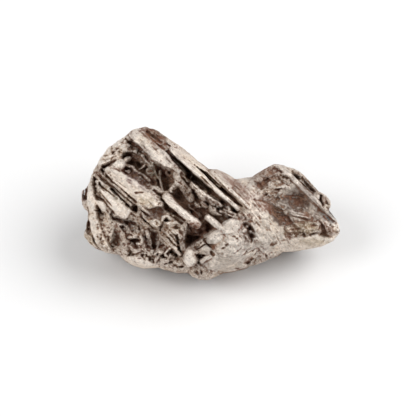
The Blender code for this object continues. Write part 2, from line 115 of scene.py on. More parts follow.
# Flat breaks across the flanks and the back: outward direction, and distance from the face's origin.
BREAKS = [
    ((-0.55, 0.25, -0.80), 14.2),
    ((0.25, 0.50, -0.83), 9.6),
    ((-0.10, -0.80, -0.59), 12.6),
    ((0.70, -0.10, -0.70), 18.2),
    ((-0.92, -0.30, -0.25), 25.3),
    ((-0.40, 0.85, -0.34), 18.5),
    ((0.60, 0.78, -0.20), 15.6),
    ((0.10, -0.25, -0.96), 10.6),
    ((0.0, -0.643, -0.766), 12.0),
]

# The three directions that the crystal bands run in.
BANDS = [(0.77, -0.64, 0.0), (0.62, 0.45, -0.64), (-0.25, 0.55, 0.80)]

# Relief of the flanks and the back, spread evenly round them.
FLANK_PLATES, FLANK_HOLLOWS, FLANK_KNOBS = 74, 34, 20
FLANK_SEED = 11
GOLDEN_ANGLE = math.pi * (3.0 - math.sqrt(5.0))

# Bumps of the belly that carry the lump: x, y from the middle of its plan.
FEET = [(-13.0, -0.5), (3.0, -6.0), (0.0, 3.4), (13.5, 1.2)]
FOOT_RADII = (6.0, 4.4, 5.2)  # in x, in y, upwards
FOOT_WEAR = 0.4  # how much of each bump the ground has worn away

# How far the relief may reach.
HIGHEST = 2.2  # a plate or a knob of the flanks above the skin
RIM_ROOM = 0.25  # past the outline
BOX_ROOM = 0.2  # past the lump's box

# Stains of the open face: x, y, reach along, reach across, turn in degrees, strength. pale is bare metal,
# and at one spot painted light.
STAINS = {
    "pale": [
        (-6.4, 4.6, 1.0, 1.6, 0.0, 1.0), (-0.9, 1.9, 2.8, 0.5, -38.0, 1.0), (0.8, -1.2, 0.9, 1.2, 0.0, 0.9),
        (3.2, -1.6, 2.0, 0.8, -20.0, 0.8), (-9.6, 4.2, 0.3, 2.2, 5.0, 0.8),
        # (-12.6, 8.9) is painted light on a strip that lies in the crest slab's shade
        (-10.4, 2.6, 1.6, 0.5, 0.0, 0.9), (-12.6, 8.9, 2.6, 0.5, -35.0, 0.8),
        (-7.0, -5.2, 1.8, 1.8, -45.0, 0.9), (-10.7, -3.9, 1.1, 0.7, 0.0, 1.0),
        (-8.4, -3.0, 1.2, 0.8, 0.0, 1.0), (-14.4, -7.2, 1.4, 1.2, 0.0, 0.9),
        (-7.6, -9.2, 1.6, 1.2, 0.0, 0.8), (-11.4, -10.2, 1.6, 1.0, 0.0, 0.7),
        (-1.2, -9.0, 1.2, 0.9, 0.0, 0.7), (-20.4, -4.4, 2.0, 3.0, 10.0, 0.5),
        (-16.0, 3.4, 5.0, 1.6, -38.0, 0.5), (-18.6, 0.4, 4.4, 2.0, -43.0, 0.5),
        (-23.3, -2.0, 7.0, 0.8, 97.0, 0.5), (-20.0, 10.4, 4.6, 2.8, 38.0, 0.8),
        (-13.6, 5.4, 2.4, 0.4, -40.0, 0.7), (3.6, 5.8, 2.8, 1.0, -32.0, 0.6),
    ],
    "rust": [
        (-11.2, 13.0, 3.2, 1.1, -42.0, 0.9), (-16.2, 14.0, 0.8, 0.6, 0.0, 0.7),
        (-16.8, 12.0, 0.7, 0.5, 0.0, 0.6), (-14.6, 8.6, 1.4, 1.0, 0.0, 0.4),
        (-3.0, -5.3, 1.0, 0.7, 0.0, 0.9), (0.8, -8.5, 0.6, 0.6, 0.0, 0.9),
        (10.0, -0.6, 2.2, 1.2, -30.0, 0.7), (9.8, 3.6, 1.0, 0.7, 0.0, 0.8), (11.2, 5.8, 1.4, 1.2, 0.0, 0.7),
        (17.6, 0.2, 1.0, 0.6, 0.0, 0.4), (19.0, -2.7, 1.1, 0.8, 0.0, 0.6), (16.0, -5.2, 1.0, 0.5, 0.0, 0.7),
        (15.4, -6.6, 0.8, 0.9, 0.0, 0.7), (22.2, -5.0, 0.9, 1.4, 10.0, 0.8),
        (24.2, -6.0, 1.0, 0.8, 0.0, 0.7), (7.3, -11.3, 1.1, 0.6, 45.0, 0.5),
        (11.4, 5.6, 2.0, 1.4, 30.0, 0.6), (22.6, 0.4, 0.8, 0.9, 0.0, 0.6),
        (-14.9, -8.5, 1.1, 0.5, -45.0, 0.6), (-6.4, 0.4, 1.8, 0.7, -42.0, 0.5),
        (4.2, 4.0, 4.6, 0.5, -46.0, 0.6), (6.8, 2.4, 4.8, 0.6, -46.0, 0.55),
        (-2.4, -4.9, 1.8, 0.9, -10.0, 1.0),
    ],
    "brown": [
        (-14.6, 9.6, 2.6, 2.0, -20.0, 0.9), (-13.7, 10.9, 1.2, 0.6, -25.0, 0.9),
        (-18.4, -7.0, 1.0, 2.1, 5.0, 0.6), (-24.2, -4.4, 0.6, 1.6, 0.0, 0.8),
        (-11.4, -7.2, 1.8, 2.6, 0.0, 0.5), (-7.0, 8.0, 3.4, 1.0, -42.0, 0.8),
        # (-10.6, -2.1) is painted shade below the upper slab's lower end
        (-10.6, -2.1, 1.7, 1.2, 0.0, 0.5), (-3.6, -7.2, 2.0, 2.2, 0.0, 1.0),
        (-1.6, -4.7, 1.3, 1.0, 0.0, 0.7), (-2.4, -5.2, 1.8, 0.9, -15.0, 0.8),
        (-0.2, -8.0, 1.0, 1.4, 0.0, 0.5), (18.6, 3.8, 3.4, 1.2, -42.0, 0.8),
        (17.0, 0.2, 3.2, 1.9, -15.0, 1.0), (14.0, -2.8, 2.6, 1.8, -20.0, 0.95),
        (-11.0, 13.2, 3.4, 1.2, -42.0, 1.0), (7.6, -5.9, 1.3, 2.4, 10.0, 0.8),
        (2.0, -0.8, 3.6, 1.6, -30.0, 0.7), (-5.0, 0.0, 3.2, 1.2, -42.0, 0.8),
        (9.8, 3.6, 1.0, 0.5, 0.0, 0.8), (15.6, -1.6, 4.4, 2.8, -12.0, 0.6),
        (19.6, -2.6, 2.0, 1.0, -20.0, 0.7),
    ],
    "ochre": [
        (-11.2, 13.9, 1.6, 0.35, -28.0, 0.8), (-18.4, -7.0, 2.2, 2.4, 0.0, 0.3),
        (-24.2, -7.2, 1.3, 1.2, 0.0, 0.7), (18.0, -5.0, 3.6, 1.3, 5.0, 0.9),
        (22.6, -0.6, 1.5, 1.4, 0.0, 0.5), (-11.4, -4.2, 2.4, 1.0, 0.0, 0.3),
        (20.5, -7.6, 3.6, 1.0, 0.0, 0.4), (-12.2, 0.2, 1.8, 1.2, -40.0, 0.5),
    ],
    "mauve": [
        (-14.6, 4.9, 3.0, 1.5, -40.0, 0.9), (-24.9, 2.4, 0.8, 1.8, 0.0, 0.9),
        # (-10.6, -2.1) is painted shade below the upper slab's lower end
        (-8.7, 4.3, 1.1, 2.2, 0.0, 0.8), (-10.6, -2.1, 1.7, 1.1, 0.0, 0.6),
        (4.8, 3.4, 4.2, 1.2, -45.0, 0.35), (1.0, 0.4, 2.6, 1.0, -30.0, 0.4),
        (20.0, 1.0, 6.0, 1.0, -43.0, 0.4), (10.4, 0.6, 2.4, 1.6, -40.0, 0.4),
    ],
    "olive": [
        (-11.0, 5.9, 1.2, 1.9, 10.0, 0.9), (-18.0, 1.2, 2.8, 0.9, -44.0, 0.6),
        (-0.3, -8.0, 0.9, 1.2, 0.0, 0.7), (2.8, -3.1, 0.8, 0.5, 0.0, 0.6),
    ],
    "slate": [
        (24.0, -2.8, 1.9, 1.6, 0.0, 0.9), (13.8, -2.8, 2.4, 1.5, -30.0, 0.8),
        (-15.8, -4.4, 2.6, 1.3, -15.0, 0.5), (16.4, -0.1, 3.0, 1.7, -15.0, 0.85),
        # the four broad washes from here on are a grey tone and also painted shade that darkens the right
        # part
        (5.5, -8.8, 9.0, 5.0, 20.0, 0.42), (18.0, -6.0, 9.0, 3.5, 5.0, 0.2),
        (16.0, 1.5, 9.0, 5.0, -30.0, 0.36), (2.8, -5.6, 3.2, 2.2, 30.0, 0.4),
    ],
}

# Colours of the metal and of what lies on it. The patina colours are also painted shade in recesses, and the
# bright metal is also painted highlight on edges and crests.
BRIGHT_METAL_AND_HIGHLIGHT, METAL, WARM_METAL = (0.86, 0.78, 0.70), (0.82, 0.725, 0.64), (0.76, 0.645, 0.53)
DULL_METAL, CHIPPED_METAL, SPECK = (0.48, 0.37, 0.29), (0.42, 0.31, 0.23), (0.26, 0.17, 0.115)
PATINA_AND_SHADE = [(0.220, 0.106, 0.068), (0.290, 0.172, 0.112)]
STAIN_TINTS = {
    "ochre": (0.50, 0.38, 0.23), "olive": (0.17, 0.15, 0.09), "mauve": (0.25, 0.16, 0.15),
    "slate": (0.155, 0.145, 0.14), "brown": (0.110, 0.064, 0.045), "rust": (0.215, 0.085, 0.045),
}
CHIP_SIZE = 0.42  # size of the finish's broken chips
BUMP_STRENGTH, BUMP_DEPTH = 0.9, 0.28  # of the finish's finest relief

# The room: place in metres, width and power of each lamp, then the light all round and the floor.
LAMPS = [("key", (0.94, 0.00, 1.05), 1.45, 18.5), ("fill", (-0.95, -0.40, 1.00), 0.90, 9.5)]
ROOM_LIGHT = 0.47
FLOOR_REACH = 6.0  # in metres
FLOOR_WHITE = 0.80

# The camera.
LENS, SENSOR = 135.0, 36.0
NEAR, FAR = 0.01, 20.0  # where its view begins and ends, in metres
VIEW_WIDTH = 83.2  # width of the view at the aim
AIM = (-0.5, -1.0, 0.5)  # the face point in the middle of the view


# ---------------------------------------------------------------------------------------------------
# Noise. Every function takes whole arrays of points.


def lattice(cell, seed):
    """A number from 0 to 1 for each whole-number lattice point, mixed from its coordinates and the seed."""
    mixed = np.full(cell.shape[:-1], seed * 374761393 + 668265263, dtype=np.int64)
    for axis, prime in zip(range(cell.shape[-1]), (73856093, 19349663, 83492791)):
        mixed ^= cell[..., axis] * prime
        mixed = (mixed ^ (mixed >> 13)) * 1274126177 & 0x7FFFFFFF
    return ((mixed ^ (mixed >> 16)) & 0xFFFFF) / 0xFFFFF


def noise(points, spacing, seed=0):
    """Noise from -1 to 1: the lattice's numbers, blended between lattice points by 3t^2 - 2t^3."""
    scaled = points / spacing
    cell = np.floor(scaled).astype(np.int64)
    t = scaled - cell
    t = t * t * (3.0 - 2.0 * t)
    total = np.zeros(points.shape[:-1])
    for corner in range(2 ** points.shape[-1]):
        bits = np.array([corner >> axis & 1 for axis in range(points.shape[-1])])
        total += np.prod(np.where(bits, t, 1.0 - t), axis=-1) * lattice(cell + bits, seed)
    return 2.0 * total - 1.0


def rough(points, spacing, octaves, seed=0):
    """Sum of octaves of noise, each with half the spacing and half the height of the one before."""
    return sum(noise(points, spacing / 2**k, seed + k) / 2**k for k in range(octaves))


def cells(place, seed):
    """One random point in each lattice square or cube. Gives the distance to the nearest and to the second
    nearest point, the nearest point's square, and the way from that point."""
    base = np.floor(place).astype(np.int64)
    sides = place.shape[-1]
    first = np.full(place.shape[:-1], 9.0)
    second, owner, away = first.copy(), base.copy(), np.zeros_like(place)
    for step in np.ndindex(*(3,) * sides):
        cell = base + np.array(step) - 1
        point = cell + np.stack([lattice(cell, seed + axis) for axis in range(sides)], axis=-1)
        gap = np.linalg.norm(place - point, axis=-1)
        nearer = gap < first
        second = np.where(nearer, first, np.minimum(second, gap))
        owner = np.where(nearer[..., None], cell, owner)
        away = np.where(nearer[..., None], place - point, away)
        first = np.where(nearer, gap, first)
    return first, second, owner, away


def ease(t):
    """0 below 0, 1 above 1, and 3t^2 - 2t^3 between."""
    t = np.clip(t, 0.0, 1.0)
    return t * t * (3.0 - 2.0 * t)


def turned(x, y, turn_deg):
    """Coordinates along and across a direction of the face."""
    c, s = math.cos(math.radians(turn_deg)), math.sin(math.radians(turn_deg))
    return x * c + y * s, y * c - x * s


# ---------------------------------------------------------------------------------------------------
# The skin under the relief.


def outline_radius(angle):
    """Distance from the core's centre to the outline, in each of these directions."""
    points = np.array(OUTLINE) - CORE_CENTRE
    around = np.arctan2(points[:, 1], points[:, 0])
    order = np.argsort(around)
    return np.interp(angle, around[order], np.hypot(*points.T)[order], period=2 * math.pi)


def swelling(x, y):
    """Sum of smooth bell-shaped hills over the face."""
    height = np.zeros_like(x)
    for at_x, at_y, along, across, turn, rise in SWELLS:
        u, v = turned(x - at_x, y - at_y, turn)
        height += rise * np.exp(-((u / along) ** 2) - (v / across) ** 2)
    return height


def face_height(x, y, share):
    """How high the uncarved face stands at x, y, which lie at this share of the way to the outline: the
    crown's height times (1 - share^SQUARENESS)^(1/2)."""
    tail = ease((x - TAIL_START) / (TAIL_END - TAIL_START))
    crown = FRONT_DEPTH[0] + (FRONT_DEPTH[1] - FRONT_DEPTH[0]) * tail + swelling(x, y)
    return crown * np.sqrt(1.0 - share**SQUARENESS)


def skin(angle, sweep):
    """Points of the skin. angle goes round the outline, and sweep goes from 0 at the front's pole over the
    outline at a quarter turn to the back's pole at a half turn. A point lies at the sine of its sweep
    times the outline's radius, as high as the crown times (1 - sine^SQUARENESS)^(1/2), and the breaks cut
    off what lies beyond them."""
    share, front_side = np.clip(np.sin(sweep), 0.0, 1.0), sweep < math.pi / 2
    reach = share * outline_radius(angle)
    x, y = CORE_CENTRE[0] + reach * np.cos(angle), CORE_CENTRE[1] + reach * np.sin(angle)
    tail = ease((x - TAIL_START) / (TAIL_END - TAIL_START))
    back = (BACK_DEPTH[0] + (BACK_DEPTH[1] - BACK_DEPTH[0]) * tail) * np.sqrt(1.0 - share**SQUARENESS)
    z = np.where(front_side, face_height(x, y, share), -back)
    points = np.stack([x, y, z], axis=-1)
    for direction, distance in BREAKS:
        outward = np.array(direction) / np.linalg.norm(direction)
        past = np.maximum(points @ outward - distance, 0.0)
        points = points - past[..., None] * outward
    return points


def unit(vectors):
    """The vectors at a length of 1."""
    return vectors / np.maximum(np.linalg.norm(vectors, axis=-1, keepdims=True), 1e-9)


def skin_frame(angle, sweep):
    """Points on the skin and its outward directions there."""
    step = 0.04
    here, around, down = skin(angle, sweep), skin(angle + step, sweep), skin(angle, sweep + step)
    return here, unit(np.cross(down - here, around - here))


# ---------------------------------------------------------------------------------------------------
# Carving the open face.


def smoothness(x, y):
    """1 in the parts of the open face that broke smoothly, and 0 outside them."""
    share = np.zeros_like(x)
    for at_x, at_y, along, across, turn in SMOOTH_PARTS:
        u, v = turned(x - at_x, y - at_y, turn)
        share = np.maximum(share, ease(2.2 * (1.2 - np.hypot(u / along, v / across))))
    return share


class OpenFace:
    """The relief over the points x, y of the open face: how far the metal stands above or below the skin.
    Shapes are laid down one after another. Bars and knobs keep the higher of themselves and what is there,
    hollows keep the lower, and slots, pits and broken plates are added."""

    def __init__(self, x, y):
        flat = np.stack([x, y], axis=-1)
        self.straight = flat
        # Every edge wanders a little, because the places are read through a slow noise.
        self.x = x + 0.07 * rough(flat, 1.3, 2, 71) + 0.035 * noise(flat, 0.4, 75)
        self.y = y + 0.07 * rough(flat, 1.3, 2, 81) + 0.035 * noise(flat, 0.4, 85)
        self.relief = np.zeros_like(x)

    def near(self, places, margin):
        """Indices of the points within a margin of the box round some places."""
        low, high = np.min(places, axis=0), np.max(places, axis=0)
        inside = (self.x > low[0] - margin) & (self.x < high[0] + margin)
        inside &= (self.y > low[1] - margin) & (self.y < high[1] + margin)
        return np.nonzero(inside)

    def along_path(self, path, here, bluntness):
        """Distance from a path of (x, y, half width), place along it, side of it, half width and length.
        bluntness is the power of the distance's norm: 2 gives round ends, and more gives square ones."""
        x, y = self.x[here], self.y[here]
        distance = np.full(x.shape, 1e9)
        place, side, half, walked = np.zeros_like(x), np.zeros_like(x), np.ones_like(x), 0.0
        for (ax, ay, a_half), (bx, by, b_half) in zip(path, path[1:]):
            length = math.hypot(bx - ax, by - ay)
            along = ((x - ax) * (bx - ax) + (y - ay) * (by - ay)) / length
            across = ((y - ay) * (bx - ax) - (x - ax) * (by - ay)) / length
            over = np.maximum(np.maximum(-along, along - length), 0.0)
            gap = (np.abs(across) ** bluntness + over**bluntness) ** (1.0 / bluntness)
            closer = gap < distance
            distance = np.where(closer, gap, distance)
            place = np.where(closer, walked + np.clip(along, 0.0, length), place)
            side = np.where(closer, across, side)
            share = np.clip(along / length, 0.0, 1.0)
            half = np.where(closer, a_half + (b_half - a_half) * share, half)
            walked += length
        return distance, place, side, half, walked

    def bar(self, path, rise, crown=0.12, wall=14.0, grain=0.06, blunt=4.0, tilt=0.0, ragged=0.12):
        """A bar of metal. Its top runs from the first rise to the last, is crowned as 1 - (distance /
        half width)^2, tilted across, and grained along its length. Beyond its ragged half width it falls
        by wall times the distance."""
        spots = np.array(path)
        here = self.near(spots[:, :2], spots[:, 2].max() + 1.0)
        distance, place, side, half, length = self.along_path(path, here, blunt)
        start, finish = rise if isinstance(rise, tuple) else (rise, rise)
        chips = np.stack([place, np.sign(side) * 3.0], axis=-1)
        half = half * (1.0 + ragged * rough(chips, 0.9, 3, 5))
        strands = np.stack([place / 2.2, side / 0.24], axis=-1)
        top = start + (finish - start) * place / length + tilt * side + grain * noise(strands, 1.0, 9)
        top += crown * (1.0 - (distance / half) ** 2) - wall * np.maximum(distance - half, 0.0)
        higher = np.maximum(self.relief[here], top)
        self.relief[here] = np.where(distance < half + 0.9, higher, self.relief[here])

    def rod(self, path, rise, **shape):
        """A bar with round ends."""
        self.bar(path, rise, blunt=2, **shape)

    def hollow(self, corners, depth, run=0.8, rubbly=0.3, spacing=0.9):
        """A pit with this outline. Its depth grows as the ease of distance / run, to the power 0.6, and
        its floor is rubbly."""
        ring = np.array(corners)
        here = self.near(ring, 0.2)
        x, y = self.x[here], self.y[here]
        inside = np.zeros(x.shape, bool)
        gap = np.full(x.shape, 1e9)
        for (ax, ay), (bx, by) in zip(ring, np.roll(ring, -1, axis=0)):
            if ay != by:
                inside ^= ((ay > y) != (by > y)) & (x < (bx - ax) * (y - ay) / (by - ay) + ax)
            share = ((x - ax) * (bx - ax) + (y - ay) * (by - ay)) / ((bx - ax) ** 2 + (by - ay) ** 2)
            share = np.clip(share, 0.0, 1.0)
            gap = np.minimum(gap, np.hypot(x - ax - share * (bx - ax), y - ay - share * (by - ay)))
        floor = 1.0 + rubbly * rough(np.stack([x, y], axis=-1), spacing, 2, 31)
        lower = np.minimum(self.relief[here], -depth * ease(gap / run) ** 0.6 * floor)
        self.relief[here] = np.where(inside, lower, self.relief[here])

    def slot(self, path, depth, edge=0.15):
        """A cut along a path of (x, y, half width), with sides that run over a short edge."""
        spots = np.array(path)
        here = self.near(spots[:, :2], spots[:, 2].max() + 0.5)
        distance, _, _, half, _ = self.along_path(path, here, 2.0)
        self.relief[here] -= depth * ease((half - distance) / edge + 0.5)

    def knob(self, x, y, along, across, turn, rise, body=None, power=2.4):
        """A dome, (1 - r^power)^(1/power) times its body high, whose top stands at its rise."""
        here = self.near([(x, y)], max(along, across) + 0.3)
        u, v = turned(self.x[here] - x, self.y[here] - y, turn)
        r = np.hypot(u / along, v / across)
        body = body or 0.9 * min(along, across)
        top = rise - body + body * np.maximum(1.0 - r**power, 0.0) ** (1.0 / power)
        self.relief[here] = np.where(r < 1.0, np.maximum(self.relief[here], top), self.relief[here])

    def swell(self, x, y, along, across, turn, rise):
        """A bell-shaped hill added to what is there."""
        here = self.near([(x, y)], 2.2 * max(along, across))
        u, v = turned(self.x[here] - x, self.y[here] - y, turn)
        self.relief[here] += rise * np.exp(-((u / along) ** 2) - (v / across) ** 2)

    def zone(self, x, y, along, across, turn):
        """The points of an ellipse with a ragged edge, and how far each is inside it, from 0 to 1."""
        here = self.near([(x, y)], max(along, across))
        u, v = turned(self.x[here] - x, self.y[here] - y, turn)
        r = np.hypot(u / along, v / across)
        r += 0.25 * noise(np.stack([self.x[here], self.y[here]], axis=-1), 1.1, 44)
        return here, ease((1.0 - r) / 0.35)

    def lamellae(self, zone, lie, width, rise, groove=0.35, seed=1):
        """Thin parallel plates in a zone. Each row is broken into lengths, each length has a height of its
        own, and a groove runs between two rows."""
        here, mask = self.zone(*zone)
        s, q = turned(self.straight[here][:, 0], self.straight[here][:, 1], lie)
        q = q + 0.25 * width * noise(np.stack([0.25 * s, 0.6 * q], axis=-1), 1.0, seed)
        row = np.floor(q / width).astype(np.int64)
        share = q / width - row
        shift, stretch = (lattice(np.stack([row, row * 0 + k], axis=-1), seed) for k in (3, 7))
        column = np.floor(s / (2.0 + 3.5 * stretch) + 7.0 * shift).astype(np.int64)
        height = lattice(np.stack([row, column], axis=-1), seed + 1) - 0.5
        cut = groove * (1.0 - ease(np.minimum(share, 1.0 - share) / 0.22))
        self.relief[here] += mask * (rise * height - cut)

    def flakes(self, size, rise, groove, stretch, lie, seed):
        """Sharp flakes all over, at 0.15 of their height on the parts that broke smoothly."""
        share = 1.0 - 0.85 * smoothness(self.x, self.y)
        self.relief += share * self.blocks(slice(None), size, rise, groove, stretch, lie, seed, 0.0)

    def rubble(self, zone, size, rise, groove=0.4, stretch=1.6, lie=-40.0, seed=1):
        """Broken blocks with worn tops in a zone."""
        here, mask = self.zone(*zone)
        self.relief[here] += mask * self.blocks(here, size, rise, groove, stretch, lie, seed, 1.0)

    def blocks(self, here, size, rise, groove, stretch, lie, seed, worn):
        """Heights of broken blocks at some points. A block is the part of the face nearest to one random
        point: its height is rise * (height + 1.3 * tilt . way from the point - worn * distance^2), with a
        height and a tilt of its own, and a crack runs round it."""
        s, q = turned(self.x[here], self.y[here], lie)
        first, second, cell, away = cells(np.stack([s / (size * stretch), q / size], axis=-1), seed)
        height, tilt_s, tilt_q = (lattice(cell, seed + k) - 0.5 for k in (5, 6, 7))
        body = rise * (height + 1.3 * (tilt_s * away[..., 0] + tilt_q * away[..., 1]) - worn * first**2)
        return body - groove * (1.0 - ease((second - first) / 0.28))

    def pits(self, zone, size, depth, seed=1):
        """Small round pits in a zone, one about the random point of each cell."""
        here, mask = self.zone(*zone)
        first, _, cell, _ = cells(np.stack([self.x[here], self.y[here]], axis=-1) / size, seed)
        wide = 0.2 + 0.35 * lattice(cell, seed + 3)
        self.relief[here] -= mask * depth * lattice(cell, seed + 2) * ease((wide - first) / 0.15)


# ---------------------------------------------------------------------------------------------------
# The forms of the open face. A path is points of x, y and half width, a zone is x, y, reach along, reach
# across and turn in degrees, and a knob or a swell is the same five numbers and its rise.


def carve(face):
    """Lays every form of the open face down, the broad ones of each part before the small ones."""
    hollows(face)
    left(face)
    cavity(face)
    crest(face)
    shoulder(face)
    rubble(face)
    bottom(face)
    tail(face)
    face.flakes(0.85, 0.75, 0.12, stretch=1.7, lie=-40.0, seed=91)
    face.flakes(0.45, 0.42, 0.06, stretch=1.5, lie=-32.0, seed=92)


def hollows(face):
    """The great hollow under the crown, and the deeper pockets in it."""
    # thin plates all over the hollow
    face.lamellae((-12, 0, 13, 13, 0), -40, 0.75, 0.35, 0.15, seed=3)
    # the hollow itself, and the pockets in it
    face.hollow([(-16.0, 10.3), (-14.4, 10.6), (-12.6, 9.6), (-11.6, 7.9), (-9.6, 7.6), (-7.6, 6.4),
            (-6.4, 6.4), (-5.8, 4.6), (-4.4, 6.4), (-2.8, 5.4), (-1.0, 3.4), (1.4, 1.0), (3.2, -0.4),
            (5.6, -2.6), (4.4, -3.4), (2.2, -4.6), (0.6, -5.2), (-0.8, -6.6), (-2.4, -8.8), (-4.6, -9.4),
            (-5.4, -7.4), (-4.8, -5.6), (-4.6, -3.4), (-7.4, -1.6), (-9.6, 0.4), (-10.4, 1.8), (-12.2, 2.4),
            (-14.6, 4.2), (-17.4, 5.8), (-17.6, 8.4), (-17.2, 9.6)], 3.0, run=1.3, rubbly=0.28, spacing=1.4)
    face.hollow([(-15.7, 10.0), (-13.6, 9.6), (-12.4, 7.8), (-12.2, 6.0), (-14.0, 6.2), (-15.4, 7.6)], 4.6,
            run=1.0)
    face.hollow([(-17.5, 9.4), (-16.0, 9.8), (-16.2, 9.0), (-17.2, 8.2)], 2.2, run=0.5)
    face.hollow([(-9.9, 6.4), (-7.6, 6.4), (-7.2, 4.4), (-8.0, 2.4), (-9.4, 2.4), (-9.9, 4.4)], 3.9,
            run=0.5)
    face.hollow([(-12.0, 5.4), (-10.0, 6.2), (-10.0, 3.2), (-11.8, 3.2)], 4.2, run=0.6)
    face.hollow([(-5.0, 6.8), (-2.6, 5.6), (0.6, 2.2), (0.2, 1.4), (-2.4, 3.6), (-5.2, 4.8)], 4.4, run=0.7)
    face.hollow([(-7.6, 9.2), (-7.0, 9.0), (-3.6, 6.2), (-4.6, 5.8)], 3.6, run=0.4)
    face.hollow([(-4.8, -0.6), (-2.2, -1.8), (-1.6, -2.9), (-3.4, -2.9), (-6.6, 1.4), (-7.4, 1.9),
            (-6.0, 2.0)], 4.2, run=0.6)
    face.hollow([(0.6, 0.4), (2.2, 0.6), (3.6, -0.4), (5.6, -1.6), (5.2, -3.0), (2.2, -2.2), (0.8, -1.0)],
            4.2, run=0.6)
    face.hollow([(-5.0, -5.8), (-1.6, -6.2), (-1.4, -7.0), (-3.6, -9.0), (-4.8, -9.4), (-5.4, -7.6)], 6.0,
            run=0.9, rubbly=0.1)
    face.hollow([(-1.2, -3.4), (0.8, -4.6), (1.2, -5.0), (-0.6, -6.0), (-1.4, -5.4)], 4.0, run=0.6)
    face.hollow([(-9.6, 1.6), (-8.9, 1.6), (-7.8, -0.6), (-4.6, -3.2), (-5.0, -3.8), (-9.0, -1.4),
            (-10.0, 0.2)], 2.6, run=0.5)


